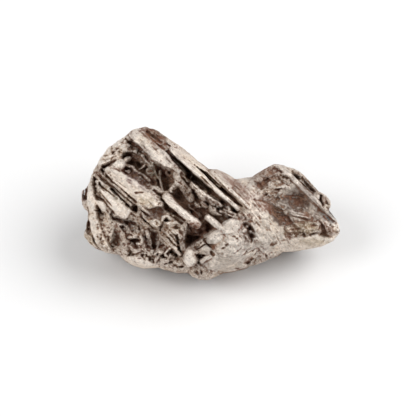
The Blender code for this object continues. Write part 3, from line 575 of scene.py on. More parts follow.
def left(face):
    """The left end: lobes, two slabs with strips between them, the rib along the rim, nubs outside it."""
    # lobes of the upper left
    for knob in [
        (-20.6, 10.6, 1.7, 1.6, 40, 1.1), (-18.2, 11.6, 2.0, 1.3, 35, 1.2), (-19.4, 9.0, 2.2, 0.9, 15, 1.0),
        (-17.0, 10.9, 1.4, 1.0, 0, 1.3), (-18.4, 7.4, 1.9, 1.3, 20, 1.5), (-21.4, 8.4, 1.2, 1.2, 40, 0.8),
        (-16.6, 13.0, 1.5, 1.0, 40, 1.1), (-22.4, 7.0, 1.0, 0.9, 40, 0.8), (-16.4, 8.6, 0.8, 0.5, 30, 0.5),
    ]:
        face.knob(*knob)
    face.rubble((-19.0, 10.2, 3.8, 2.2, 35), 0.8, 0.9, 0.15, lie=30.0, seed=95)
    face.slot([(-21.2, 7.2, 0.3), (-19.8, 7.6, 0.5), (-18.6, 8.4, 0.15)], 1.6, edge=0.3)
    face.slot([(-20.0, 9.6, 0.06), (-18.9, 9.6, 0.12), (-18.1, 10.0, 0.05)], 0.7, edge=0.15)
    face.slot([(-21.5, 10.4, 0.08), (-21.2, 9.3, 0.1)], 0.5)
    face.slot([(-16.9, 12.9, 0.08), (-16.2, 12.2, 0.3), (-15.0, 11.4, 0.4), (-14.0, 10.9, 0.4),
            (-12.9, 10.5, 0.2)], 1.3, edge=0.3)
    # the upper slab
    face.bar([(-20.0, 6.0, 0.8), (-17.6, 4.6, 1.3), (-14.8, 2.6, 1.6), (-12.0, 0.6, 1.7),
            (-10.8, -0.4, 1.3)], (1.4, 1.7), tilt=0.25, crown=0.12, grain=0.1)
    face.swell(-12.4, 0.8, 2.4, 1.4, -40, 0.4)
    face.slot([(-14.5, 1.9, 0.25), (-13.2, 2.0, 0.12)], 0.6)
    # thin strips under it
    face.rod([(-21.0, 5.2, 0.22), (-18.6, 3.4, 0.32), (-15.6, 1.0, 0.34), (-13.4, -0.9, 0.26),
            (-11.6, -2.2, 0.2)], (1.6, 1.3), grain=0.05)
    face.slot([(-21.6, 6.6, 0.2), (-20.9, 5.8, 0.35), (-19.4, 4.3, 0.12), (-16.4, 1.9, 0.14),
            (-14.4, 0.1, 0.16)], 1.2, edge=0.12)
    face.rod([(-22.3, 4.2, 0.28), (-20.0, 3.0, 0.36), (-17.2, 0.9, 0.42), (-15.6, -0.4, 0.36)], (1.6, 1.2),
            grain=0.05)
    face.hollow([(-19.9, 2.9), (-19.2, 2.9), (-16.8, 0.6), (-15.4, -0.8), (-15.0, -1.8), (-15.9, -1.0),
            (-17.8, 0.2)], 1.9, run=0.35, rubbly=0.1)
    # the lower slab
    face.bar([(-22.2, 3.2, 0.35), (-20.4, 1.4, 0.8), (-18.4, -0.4, 1.1), (-16.9, -1.7, 1.25)], (1.5, 1.6),
            crown=0.1, blunt=5, grain=0.1)
    face.slot([(-22.6, 3.0, 0.1), (-21.4, 1.8, 0.14), (-19.6, -0.2, 0.12), (-19.0, -0.9, 0.05)], 1.1,
            edge=0.12)
    face.hollow([(-15.4, -0.6), (-14.2, -0.4), (-14.4, -1.9), (-15.2, -2.0)], 2.6, run=0.3)
    face.hollow([(-20.0, -1.9), (-18.0, -2.9), (-16.2, -3.4), (-14.8, -3.2), (-14.4, -4.4), (-16.4, -4.4),
            (-19.2, -3.6)], 2.0, run=0.5)
    # a short slab under them and the plates over it
    face.bar([(-23.4, 1.0, 0.7), (-21.6, -0.4, 0.8), (-20.0, -1.6, 0.5)], (1.0, 0.6), crown=0.1, grain=0.1)
    face.slot([(-23.3, 2.1, 0.12), (-22.2, 0.9, 0.3), (-21.0, 0.5, 0.2)], 1.4, edge=0.15)
    face.slot([(-21.8, 3.9, 0.2), (-20.4, 1.9, 0.06)], 0.8, edge=0.15)
    face.rod([(-22.9, 5.4, 0.16), (-21.6, 4.2, 0.2), (-19.0, 1.8, 0.16), (-16.6, -0.2, 0.1)], (1.7, 1.4),
            grain=0.0)
    face.lamellae((-21.6, 5.2, 2.2, 1.1, -40), -44, 0.32, 0.5, 0.5, seed=12)
    # the rib along the rim
    face.bar([(-23.8, 5.2, 0.5), (-23.8, 2.4, 0.8), (-23.5, -0.4, 0.9), (-23.1, -3.2, 0.95),
            (-22.5, -5.4, 0.95), (-21.6, -7.4, 0.95), (-20.4, -9.2, 0.8)], 1.1, crown=0.3, ragged=0.08,
            wall=4)
    # nubs outside the rib
    face.hollow([(-25.4, 3.7), (-24.3, 3.6), (-24.2, 0.6), (-25.1, 0.6), (-25.6, 1.4)], 1.5, run=0.4)
    face.knob(-25.6, 2.6, 0.45, 1.2, 0, 0.6)
    face.knob(-24.9, -0.6, 0.9, 1.0, 0, 0.9)
    face.slot([(-24.2, -0.8, 0.1), (-24.1, -2.4, 0.16)], 1.4)
    face.hollow([(-24.8, -3.2), (-23.9, -3.6), (-23.4, -5.9), (-24.6, -5.6)], 1.7, run=0.35)
    face.bar([(-25.0, -6.4, 0.6), (-23.8, -7.4, 0.7), (-22.8, -8.4, 0.5)], 0.9, crown=0.4)
    face.slot([(-23.2, -7.0, 0.12), (-22.2, -8.8, 0.16), (-21.6, -9.6, 0.05)], 1.0)
    face.lamellae((-24.2, -7.2, 1.6, 1.6, 0), -38, 0.4, 0.35, 0.25, seed=8)


def cavity(face):
    """What stands in the great hollow: plates and slivers, the branched knob, shards and two fingers."""
    # arch in the upper pocket
    face.bar([(-15.9, 10.3, 0.2), (-14.6, 10.0, 0.25), (-13.3, 9.2, 0.25), (-12.6, 8.2, 0.2),
            (-12.0, 7.7, 0.15)], (0.7, 0.3), blunt=4, crown=0.05, ragged=0.35)
    face.bar([(-14.9, 8.9, 0.6), (-13.4, 8.4, 0.5), (-12.4, 7.6, 0.25)], -1.6, crown=0.1, tilt=0.5,
            ragged=0.3)
    face.rod([(-13.9, 6.7, 0.12), (-13.0, 7.4, 0.2)], -1.8)
    face.knob(-16.3, 8.7, 0.55, 0.35, 40, 0.3)
    # mauve slab with a light arc
    face.bar([(-17.0, 6.0, 0.4), (-15.4, 5.8, 0.8), (-13.6, 4.6, 0.9), (-12.2, 3.3, 0.6)], (-1.0, -1.4),
            crown=0.1, tilt=-0.3)
    face.bar([(-16.2, 7.4, 0.16), (-15.2, 7.0, 0.2), (-14.2, 6.0, 0.16), (-13.2, 5.5, 0.16),
            (-12.0, 4.3, 0.2)], (-0.2, -0.5), blunt=4, crown=0.05, ragged=0.4)
    face.rubble((-13.6, 4.6, 2.0, 0.9, -40), 0.35, 0.5, 0.3, seed=21)
    # the olive pocket's wall and its knobs
    face.knob(-11.6, 7.2, 0.65, 0.7, 0, 0.2)
    face.bar([(-11.8, 6.2, 0.7), (-11.2, 5.0, 0.8), (-11.0, 4.0, 0.7)], (-1.3, -2.6), crown=0.1, tilt=0.5,
            ragged=0.3)
    face.rod([(-9.95, 6.2, 0.16), (-9.9, 4.6, 0.13), (-9.5, 3.2, 0.12), (-9.3, 2.3, 0.12)], (-1.2, -0.4),
            crown=0.1)
    face.rod([(-11.4, 2.8, 0.45), (-10.4, 2.6, 0.5), (-9.4, 2.2, 0.3)], 0.0, crown=0.4)
    face.rod([(-9.6, 2.0, 0.16), (-8.6, 2.2, 0.16), (-7.6, 2.2, 0.14)], -0.2, crown=0.2)
    # the knob with two branches
    face.bar([(-6.7, 5.7, 0.45), (-6.4, 4.8, 0.55), (-6.3, 3.9, 0.6), (-7.2, 3.1, 0.45), (-7.9, 2.6, 0.25)],
            (0.7, 0.0), blunt=3, crown=0.3)
    face.rod([(-6.2, 4.6, 0.5), (-5.5, 3.4, 0.75), (-4.6, 2.2, 0.9), (-3.9, 0.8, 0.7)], (0.3, -1.8),
            crown=0.25)
    face.rod([(-5.9, 5.9, 0.14), (-5.2, 5.2, 0.16), (-4.5, 4.2, 0.12)], -0.4)
    face.rod([(-8.7, 5.8, 0.25), (-7.8, 5.0, 0.2), (-7.4, 4.4, 0.12)], -2.6)
    # slivers over the deep gap
    face.bar([(-3.6, 3.5, 0.2), (-2.4, 2.6, 0.35), (-1.2, 1.8, 0.45), (0.2, 0.9, 0.5), (1.5, 0.3, 0.35)],
            (1.0, 1.2), crown=0.1, grain=0.3, ragged=0.7)
    for ax, ay, bx, by, half, rise in [
        (-2.3, 1.6, -0.9, 0.5, 0.16, 0.8), (-1.0, 0.9, 0.6, -0.3, 0.2, 0.9),
        (0.9, -0.1, 1.9, -0.5, 0.22, 1.1), (-0.2, -0.7, 0.9, -1.8, 0.28, 0.6),
        (0.1, -1.5, 1.9, -2.3, 0.14, 0.7), (1.8, -1.6, 3.9, -2.4, 0.14, 0.9),
        (2.6, -1.3, 4.9, -2.2, 0.13, 0.8), (2.9, -0.5, 3.6, -1.2, 0.2, 0.5),
        (-1.6, 0.0, -0.9, -0.7, 0.2, -0.2), (-2.9, -0.2, -2.2, -0.8, 0.25, -1.4),
        (4.2, -2.6, 5.1, -2.9, 0.2, 0.8),
    ]:
        face.bar([(ax, ay, 0.5 * half), (0.4 * ax + 0.6 * bx, 0.4 * ay + 0.6 * by, 1.2 * half),
                (bx, by, 0.6 * half)], (rise, rise + 0.3), crown=0.1, wall=6.0, grain=0.2, tilt=0.8,
                ragged=0.6)
    face.rod([(1.9, -1.9, 0.1), (3.0, -2.6, 0.14), (3.4, -2.9, 0.08)], -1.0)
    face.rod([(-4.2, -0.8, 0.08), (-3.2, -1.4, 0.1), (-2.2, -2.4, 0.08)], -1.6)
    # the two fingers
    face.bar([(-8.5, 1.1, 0.75), (-7.4, -0.1, 0.78), (-5.9, -1.5, 0.68), (-4.4, -2.8, 0.66),
            (-3.2, -3.8, 0.95), (-2.6, -4.2, 0.8)], (1.1, 0.5), crown=0.4, blunt=3, wall=20, grain=0.04,
            ragged=0.05)
    face.bar([(-0.5, -2.9, 0.55), (0.6, -3.7, 0.62), (1.8, -4.7, 0.6)], (0.7, 0.9), crown=0.4, blunt=3,
            wall=20, grain=0.04, ragged=0.05)
    # a wall and worn lumps by the lower pit
    face.rod([(-6.4, -3.9, 0.4), (-5.4, -4.8, 0.55), (-5.3, -6.2, 0.4), (-5.2, -7.0, 0.2)], (0.4, -0.4),
            crown=0.3)
    for knob in [
        (-3.0, -5.3, 1.1, 0.7, -15, -1.6, 1.6), (-4.2, -4.4, 0.7, 0.4, -20, -0.9, 1.4),
        (-1.6, -4.7, 0.9, 0.8, 0, -2.0, 1.6), (-2.6, -2.2, 1.0, 0.7, -30, -2.2, 1.6),
    ]:
        face.knob(*knob)


def crest(face):
    """The long ridge from the crown: a slab, three bars along it and the gaps between them."""
    # the slab at the crown
    face.bar([(-14.2, 12.2, 0.6), (-12.6, 10.6, 0.6), (-11.2, 9.0, 0.7), (-10.4, 8.2, 0.4)], (0.3, 0.3),
            blunt=3, crown=0.1, grain=0.15)
    face.bar([(-15.1, 13.9, 1.0), (-13.4, 12.4, 1.3), (-11.8, 10.9, 1.35), (-10.2, 9.5, 1.35),
            (-8.5, 8.1, 1.1), (-7.1, 7.1, 0.7), (-6.2, 6.2, 0.35)], (1.5, 1.7), crown=0.12, tilt=-0.28,
            blunt=3, grain=0.1, wall=20)
    face.slot([(-11.3, 10.9, 0.06), (-10.6, 10.3, 0.12)], 0.5)
    face.slot([(-11.0, 9.9, 0.04), (-8.6, 8.6, 0.05)], 0.3)
    # thin plates along its edge
    face.rod([(-13.8, 14.6, 0.16), (-11.6, 12.3, 0.2), (-9.4, 10.3, 0.2), (-7.6, 8.6, 0.25),
            (-6.0, 6.9, 0.3), (-5.0, 5.6, 0.15)], (1.5, 1.2), grain=0.02)
    face.slot([(-13.9, 14.9, 0.1), (-12.0, 12.9, 0.12), (-9.8, 10.9, 0.14), (-8.4, 9.8, 0.1)], 1.4,
            edge=0.12)
    # the rust slope behind it
    face.rod([(-13.0, 14.6, 0.6), (-11.2, 13.2, 0.8), (-9.4, 11.6, 0.8), (-8.6, 10.8, 0.6)], (0.5, 0.3),
            crown=0.2)
    face.rod([(-12.4, 14.5, 0.14), (-11.2, 13.9, 0.22), (-9.9, 13.2, 0.14)], 0.9)
    face.slot([(-12.6, 14.0, 0.2), (-10.2, 12.2, 0.25), (-9.4, 11.8, 0.1)], 0.6, edge=0.2)
    face.rod([(-10.6, 11.8, 0.1), (-9.8, 11.4, 0.16)], 1.0)
    # the first gap
    face.slot([(-8.5, 9.8, 0.05), (-7.4, 8.7, 0.22), (-5.8, 7.3, 0.55), (-4.0, 5.6, 0.8), (-2.2, 4.0, 0.85),
            (-0.4, 2.3, 0.7), (1.4, 0.9, 0.5), (3.0, -0.4, 0.3)], 1.9, edge=0.2)
    # the second bar
    face.bar([(-7.4, 10.4, 0.5), (-5.8, 8.9, 0.72), (-3.8, 7.2, 0.62), (-1.8, 5.3, 0.52), (0.2, 3.4, 0.5),
            (2.2, 1.6, 0.5), (4.0, 0.2, 0.45), (5.2, -1.0, 0.35)], (1.5, 1.7), crown=0.12, blunt=3, wall=24,
            ragged=0.08, grain=0.1)
    face.slot([(-7.6, 11.3, 0.1), (-6.1, 10.1, 0.18), (-4.6, 8.9, 0.2), (-3.1, 7.5, 0.2), (-1.6, 6.1, 0.18),
            (-0.2, 4.8, 0.12), (2.0, 2.5, 0.06)], 2.0, edge=0.12)
    face.slot([(-1.8, 4.9, 0.16), (-0.6, 3.8, 0.16), (0.4, 2.6, 0.12)], 0.5, edge=0.2)
    # the third bar
    face.rod([(-8.0, 12.0, 0.5), (-6.4, 10.9, 0.6), (-4.6, 9.5, 0.55), (-2.8, 7.9, 0.45), (-1.2, 6.3, 0.35),
            (0.2, 4.9, 0.3), (1.8, 3.3, 0.25)], (1.2, 1.6), crown=0.15, wall=12, ragged=0.08, grain=0.1)
    # the second gap
    face.slot([(-1.9, 6.5, 0.14), (-0.8, 5.5, 0.36), (0.6, 4.1, 0.40), (2.0, 2.8, 0.42), (3.4, 1.5, 0.42),
            (4.9, 0.3, 0.36), (6.2, -0.7, 0.12)], 2.7, edge=0.10)
    # the bar past the second gap
    face.bar([(0.2, 6.0, 0.28), (1.7, 4.5, 0.28), (3.3, 3.0, 0.3), (4.9, 1.5, 0.3), (6.4, 0.1, 0.3),
            (7.4, -0.9, 0.2)], (1.3, 1.3), blunt=3, crown=0.05, wall=20)
    face.rod([(-2.4, 8.6, 0.25), (-1.0, 7.3, 0.3), (0.4, 6.4, 0.3)], 0.6)


def shoulder(face):
    """The smooth band beside the ridge, the dark slot under it and the slab down to the saddle."""
    face.lamellae((6.0, 2.4, 6.5, 2.0, -46), -50, 0.42, 0.25, 0.1, seed=31)
    face.lamellae((10.5, -3.6, 5.5, 1.9, -52), -52, 0.3, 0.3, 0.14, seed=33)
    face.slot([(8.0, -3.0, 0.06), (9.5, -4.4, 0.1)], 0.6)
    face.slot([(9.8, -4.0, 0.05), (11.0, -5.4, 0.1)], 0.5)
    face.slot([(4.6, 3.4, 0.08), (5.6, 2.6, 0.12)], 0.4)
    face.rubble((9.6, 3.0, 2.2, 1.6, 0), 0.45, 0.4, 0.15, seed=35)
    # the dark slot beside the smooth band
    face.hollow([(6.0, -3.9), (6.9, -3.7), (7.9, -4.4), (8.6, -5.3), (8.5, -6.6), (8.1, -8.0), (7.7, -7.9),
            (7.3, -6.7), (6.9, -6.1), (6.5, -5.0)], 1.5, run=0.6, rubbly=0.5, spacing=0.6)
    face.rubble((7.4, -5.8, 1.5, 2.4, 10), 0.55, 1.0, 0.3, seed=37)
    for knob in [
        (6.5, -5.4, 0.5, 0.4, 30, 0.3), (7.8, -5.6, 0.5, 0.3, -30, -0.3, 1.2),
        (7.1, -4.6, 0.3, 0.3, 0, -0.3, 1.2),
    ]:
        face.knob(*knob)
    # the slab beside the band
    face.swell(10.4, -6.8, 1.9, 1.6, -50, 0.9)
    face.lamellae((10.2, -6.4, 2.4, 1.8, -50), -52, 0.5, 0.25, 0.15, seed=36)
    face.slot([(6.0, -10.3, 0.04), (7.6, -9.6, 0.1), (9.0, -9.0, 0.08), (10.2, -8.5, 0.04)], 0.5, edge=0.12)
    face.hollow([(11.5, -8.4), (12.0, -7.6), (13.0, -7.5), (13.2, -8.1), (12.2, -8.6)], 0.4, run=0.4)
    face.slot([(12.8, -6.0, 0.05), (13.4, -7.4, 0.1)], 0.5)
    # the rusty notch at the saddle
    face.hollow([(8.9, 4.2), (10.6, 3.9), (10.2, 3.0), (9.4, 2.8), (9.0, 3.4)], 0.9, run=0.5)
    face.knob(9.6, 4.6, 0.7, 0.5, 0, 0.8)
    face.slot([(8.2, 0.7, 0.08), (9.8, 0.4, 0.16), (11.4, -0.2, 0.1)], 0.4, edge=0.3)


def rubble(face):
    """The lower left: pitted metal, broken blocks, fine parallel plates and the lumps of the lower rim."""
    # pitted metal of the lower left
    face.pits((-20.4, -5.0, 2.6, 4.4, 10), 0.55, 0.5, seed=51)
    face.rubble((-20.6, -4.4, 2.2, 3.8, 10), 0.45, 0.35, 0.22, seed=52)
    face.slot([(-22.2, -0.6, 0.2), (-21.6, -1.6, 0.2), (-22.8, -1.4, 0.1)], 1.0, edge=0.2)
    face.slot([(-21.8, -1.8, 0.15), (-21.2, -2.2, 0.2)], 1.0, edge=0.2)
    face.hollow([(-19.0, -4.4), (-18.4, -4.0), (-17.8, -5.6), (-17.6, -7.6), (-18.0, -8.9), (-18.6, -8.2),
            (-19.6, -8.0), (-19.3, -6.2)], 1.4, run=1.0, rubbly=0.5, spacing=0.6)
    face.rod([(-19.2, -8.2, 0.16), (-18.4, -8.6, 0.18), (-17.9, -9.4, 0.16)], 0.5)
    face.rod([(-17.2, -5.9, 0.4), (-17.0, -7.4, 0.55), (-16.8, -8.8, 0.7), (-16.8, -9.6, 0.8)], 0.8,
            crown=0.4)
    # a pit with bars round it
    face.hollow([(-15.9, -6.9), (-14.6, -6.9), (-13.5, -7.3), (-14.4, -7.9), (-14.2, -9.2), (-15.0, -8.8),
            (-15.8, -7.8)], 1.7, run=0.3)
    face.rod([(-15.9, -6.7, 0.22), (-15.0, -6.6, 0.25), (-14.5, -6.3, 0.2)], 0.9)
    face.rod([(-13.7, -6.6, 0.25), (-13.3, -7.2, 0.28), (-13.7, -8.0, 0.3), (-14.4, -8.0, 0.2)], 1.0)
    face.rod([(-15.5, -7.9, 0.25), (-14.6, -8.9, 0.3), (-14.2, -9.4, 0.2)], -0.4)
    face.rod([(-15.8, -8.6, 0.3), (-15.0, -9.5, 0.4), (-13.8, -9.2, 0.3)], 0.7)
    face.slot([(-17.0, -10.0, 0.05), (-15.8, -10.2, 0.14), (-14.6, -10.0, 0.06)], 0.7)
    # dark broken blocks under the slabs
    face.rubble((-15.8, -4.8, 2.8, 1.4, -15), 0.65, 1.2, 0.5, seed=53)
    face.rod([(-18.2, -4.2, 0.16), (-17.4, -5.6, 0.12)], 0.3)
    face.bar([(-15.2, -2.6, 0.8), (-13.2, -3.6, 0.9)], 0.2, blunt=4, grain=0.2)
    face.lamellae((-13.6, -2.6, 2.6, 1.2, -40), -44, 0.4, 0.5, 0.5, seed=54)
    face.slot([(-13.6, -2.6, 0.1), (-12.4, -3.8, 0.14), (-11.2, -4.9, 0.16), (-10.4, -5.2, 0.08)], 1.2)
    face.slot([(-12.8, -1.8, 0.1), (-11.8, -2.6, 0.12)], 1.2)
    # a shallow hollow, a half moon and a curled bar
    face.hollow([(-11.8, -1.2), (-10.0, -0.6), (-9.0, -1.0), (-8.9, -2.4), (-9.6, -3.0), (-11.4, -2.9)],
            0.8, run=0.7, rubbly=0.2)
    face.knob(-10.7, -3.9, 1.15, 0.75, -10, 1.2)
    face.hollow([(-9.6, -4.2), (-8.9, -4.0), (-9.0, -5.6), (-10.0, -5.6)], 1.2, run=0.3)
    face.rod([(-9.3, -3.4, 0.25), (-9.1, -2.8, 0.3), (-8.3, -2.6, 0.32), (-7.8, -3.1, 0.28)], 1.2,
            crown=0.3)
    face.rod([(-8.6, -4.0, 0.35), (-7.4, -4.2, 0.4), (-6.6, -3.8, 0.25)], 1.0, crown=0.3)
    face.slot([(-8.7, -3.4, 0.25), (-8.4, -3.4, 0.28)], 0.9)
    face.slot([(-7.6, -4.9, 0.1), (-6.6, -4.9, 0.25)], 1.0)
    face.hollow([(-8.0, -1.8), (-5.0, -3.9), (-5.8, -4.4), (-8.0, -2.6)], 1.8, run=0.4)
    # fine parallel plates
    for k, (x0, y0, x1, y1) in enumerate([
        (-9.0, -4.5, -6.2, -7.6), (-8.4, -4.5, -6.0, -6.6), (-9.2, -5.2, -6.3, -8.3),
        (-7.4, -5.1, -5.7, -6.6), (-9.2, -6.1, -6.5, -8.9),
    ]):
        face.rod([(x0, y0, 0.2), ((x0 + x1) / 2, (y0 + y1) / 2, 0.26), (x1, y1, 0.14)],
                0.8 + 0.25 * (k % 3), grain=0.03, wall=6)
    face.slot([(-9.0, -5.0, 0.07), (-6.2, -8.0, 0.12)], 1.2, edge=0.1)
    face.slot([(-9.3, -5.8, 0.07), (-6.4, -8.7, 0.12)], 1.2, edge=0.1)
    face.slot([(-8.6, -4.9, 0.06), (-6.0, -7.2, 0.1)], 1.2, edge=0.1)
    face.slot([(-6.6, -6.2, 0.2), (-6.2, -8.8, 0.25), (-5.8, -10.4, 0.25)], 2.0, edge=0.2)
    face.rod([(-10.0, -6.1, 0.14), (-8.6, -7.3, 0.2), (-7.0, -8.9, 0.18), (-5.9, -10.2, 0.12)], (0.9, 0.9),
            grain=0.0, wall=7)
    # brown blocks and those beside them
    face.hollow([(-13.0, -5.0), (-11.6, -4.8), (-10.2, -5.6), (-9.6, -7.2), (-6.4, -10.0), (-6.2, -10.8),
            (-8.2, -9.9), (-9.8, -9.2), (-12.4, -9.6), (-13.2, -7.4)], 1.9, run=0.7, rubbly=0.4,
            spacing=0.8)
    face.rod([(-12.4, -5.6, 0.3), (-12.2, -6.6, 0.3)], 0.5)
    face.rod([(-12.2, -6.6, 0.4), (-12.0, -8.8, 0.5)], (-0.9, -0.6))
    face.rubble((-11.4, -10.6, 2.6, 1.5, 0), 0.7, 1.4, 0.7, stretch=1.0, seed=57)
    face.knob(-11.4, -9.4, 0.35, 0.3, 30, 0.6)
    face.knob(-10.6, -9.6, 0.3, 0.45, -30, 0.7)
    face.rubble((-8.0, -10.4, 2.0, 1.3, 0), 0.7, 1.4, 0.7, stretch=1.1, seed=58)
    face.rod([(-8.8, -9.9, 0.16), (-7.9, -8.8, 0.16)], 0.6)
    # lumps of the lower rim
    for knob in [
        (-8.6, -12.2, 1.8, 1.3, -10, 0.8), (-6.8, -12.2, 1.2, 1.0, 30, 0.9),
        (-14.0, -11.6, 3.0, 1.2, -15, 0.7),
    ]:
        face.knob(*knob)
    face.slot([(-10.0, -10.8, 0.1), (-10.1, -12.6, 0.1)], 0.7)
    face.slot([(-9.0, -12.0, 0.1), (-7.4, -11.6, 0.25), (-6.4, -12.6, 0.2), (-5.2, -12.4, 0.1)], 0.8)
    # bars and blocks by the lower pit
    face.bar([(-3.9, -9.0, 0.4), (-2.6, -8.0, 0.4), (-1.6, -7.3, 0.3)], (0.3, -0.2), blunt=3, crown=0.4,
            wall=6)
    face.bar([(-2.4, -9.6, 0.5), (-1.2, -8.8, 0.6), (-0.4, -8.9, 0.5)], (-0.3, 0.1), blunt=3, crown=0.3)
    face.slot([(-2.9, -9.2, 0.1), (-1.2, -8.2, 0.16), (-0.4, -8.0, 0.1)], 1.0)
    face.hollow([(-1.5, -6.6), (-0.6, -6.8), (0.2, -7.8), (1.0, -8.2), (0.6, -9.0), (-0.6, -8.4),
            (-1.6, -7.4)], 1.6, run=0.3)
    face.knob(0.7, -8.5, 0.4, 0.45, 0, -0.1)
    face.slot([(0.2, -9.6, 0.3), (0.6, -10.0, 0.3)], 0.9, edge=0.2)
    face.hollow([(-2.9, -9.9), (-1.8, -9.9), (-0.2, -10.2), (-1.0, -10.6), (-1.9, -11.8), (-2.8, -12.0)],
            2.4, run=0.3)
    face.rod([(-4.1, -9.9, 0.7), (-4.1, -10.9, 1.1), (-3.9, -11.2, 1.0)], 1.5, crown=0.9, wall=3,
            grain=0.02)


def bottom(face):
    """The smooth slab at the front, with two lobes at its head and scratches down its side."""
    face.swell(4.4, -7.2, 3.6, 3.0, 10, 1.7)
    face.knob(3.7, -4.8, 2.3, 1.6, 35, 1.7, body=1.3, power=3.0)
    face.knob(1.3, -6.5, 2.3, 1.2, 30, 1.6, body=1.3, power=3.0)
    face.swell(3.0, -9.0, 3.8, 3.2, 30, 0.9)
    for x, y, long, half, depth in [
        (2.6, -6.2, 0.3, 0.12, 0.5), (4.4, -6.5, 0.3, 0.16, 0.5), (5.0, -6.9, 0.2, 0.14, 0.5),
        (5.5, -6.4, 0.2, 0.12, 0.4), (0.8, -6.2, 0.3, 0.1, 0.2), (3.0, -8.1, 0.2, 0.14, 0.5),
        (2.5, -8.7, 0.2, 0.16, 0.5),
    ]:
        face.slot([(x - long / 2, y, half), (x + long / 2, y, half)], depth, edge=0.25)
    face.slot([(0.9, -9.1, 0.05), (2.0, -9.2, 0.06), (2.9, -8.4, 0.12), (3.3, -7.9, 0.14)], 0.5)
    face.slot([(4.6, -9.8, 0.08), (5.3, -9.3, 0.1), (6.0, -8.8, 0.04)], 0.5)
    for k in range(7):
        x, y = 5.2 + 0.62 * k, -9.4 - 0.28 * (k % 3) - 0.1 * k
        face.slot([(x, y, 0.03), (x + 0.55, y + 0.6, 0.09), (x + 0.9, y + 1.1, 0.03)], 0.4, edge=0.1)
    face.slot([(6.3, -10.1, 0.08), (6.9, -9.5, 0.1), (7.5, -8.8, 0.04)], 0.5)
    face.rod([(-1.7, -11.4, 0.35), (-1.0, -10.8, 0.35), (0.0, -10.4, 0.3)], 0.9, crown=0.3)
    face.lamellae((-2.8, -13.2, 1.8, 1.6, -30), -40, 0.5, 0.3, 0.15, seed=61)
    face.slot([(-1.9, -13.1, 0.15), (-1.7, -13.9, 0.2)], 0.7)
    face.hollow([(6.2, -12.0), (7.2, -11.2), (8.0, -10.4), (8.6, -10.8), (7.6, -12.2)], 1.0, run=0.4)
    face.hollow([(4.7, -12.7), (5.9, -12.7), (5.8, -13.2), (4.8, -13.1)], 1.0, run=0.25)
    face.swell(0.5, -12.5, 3.0, 1.8, 25, 0.4)
    face.pits((2.0, -10.0, 5.5, 4.5, 20), 0.6, 0.1, seed=62)


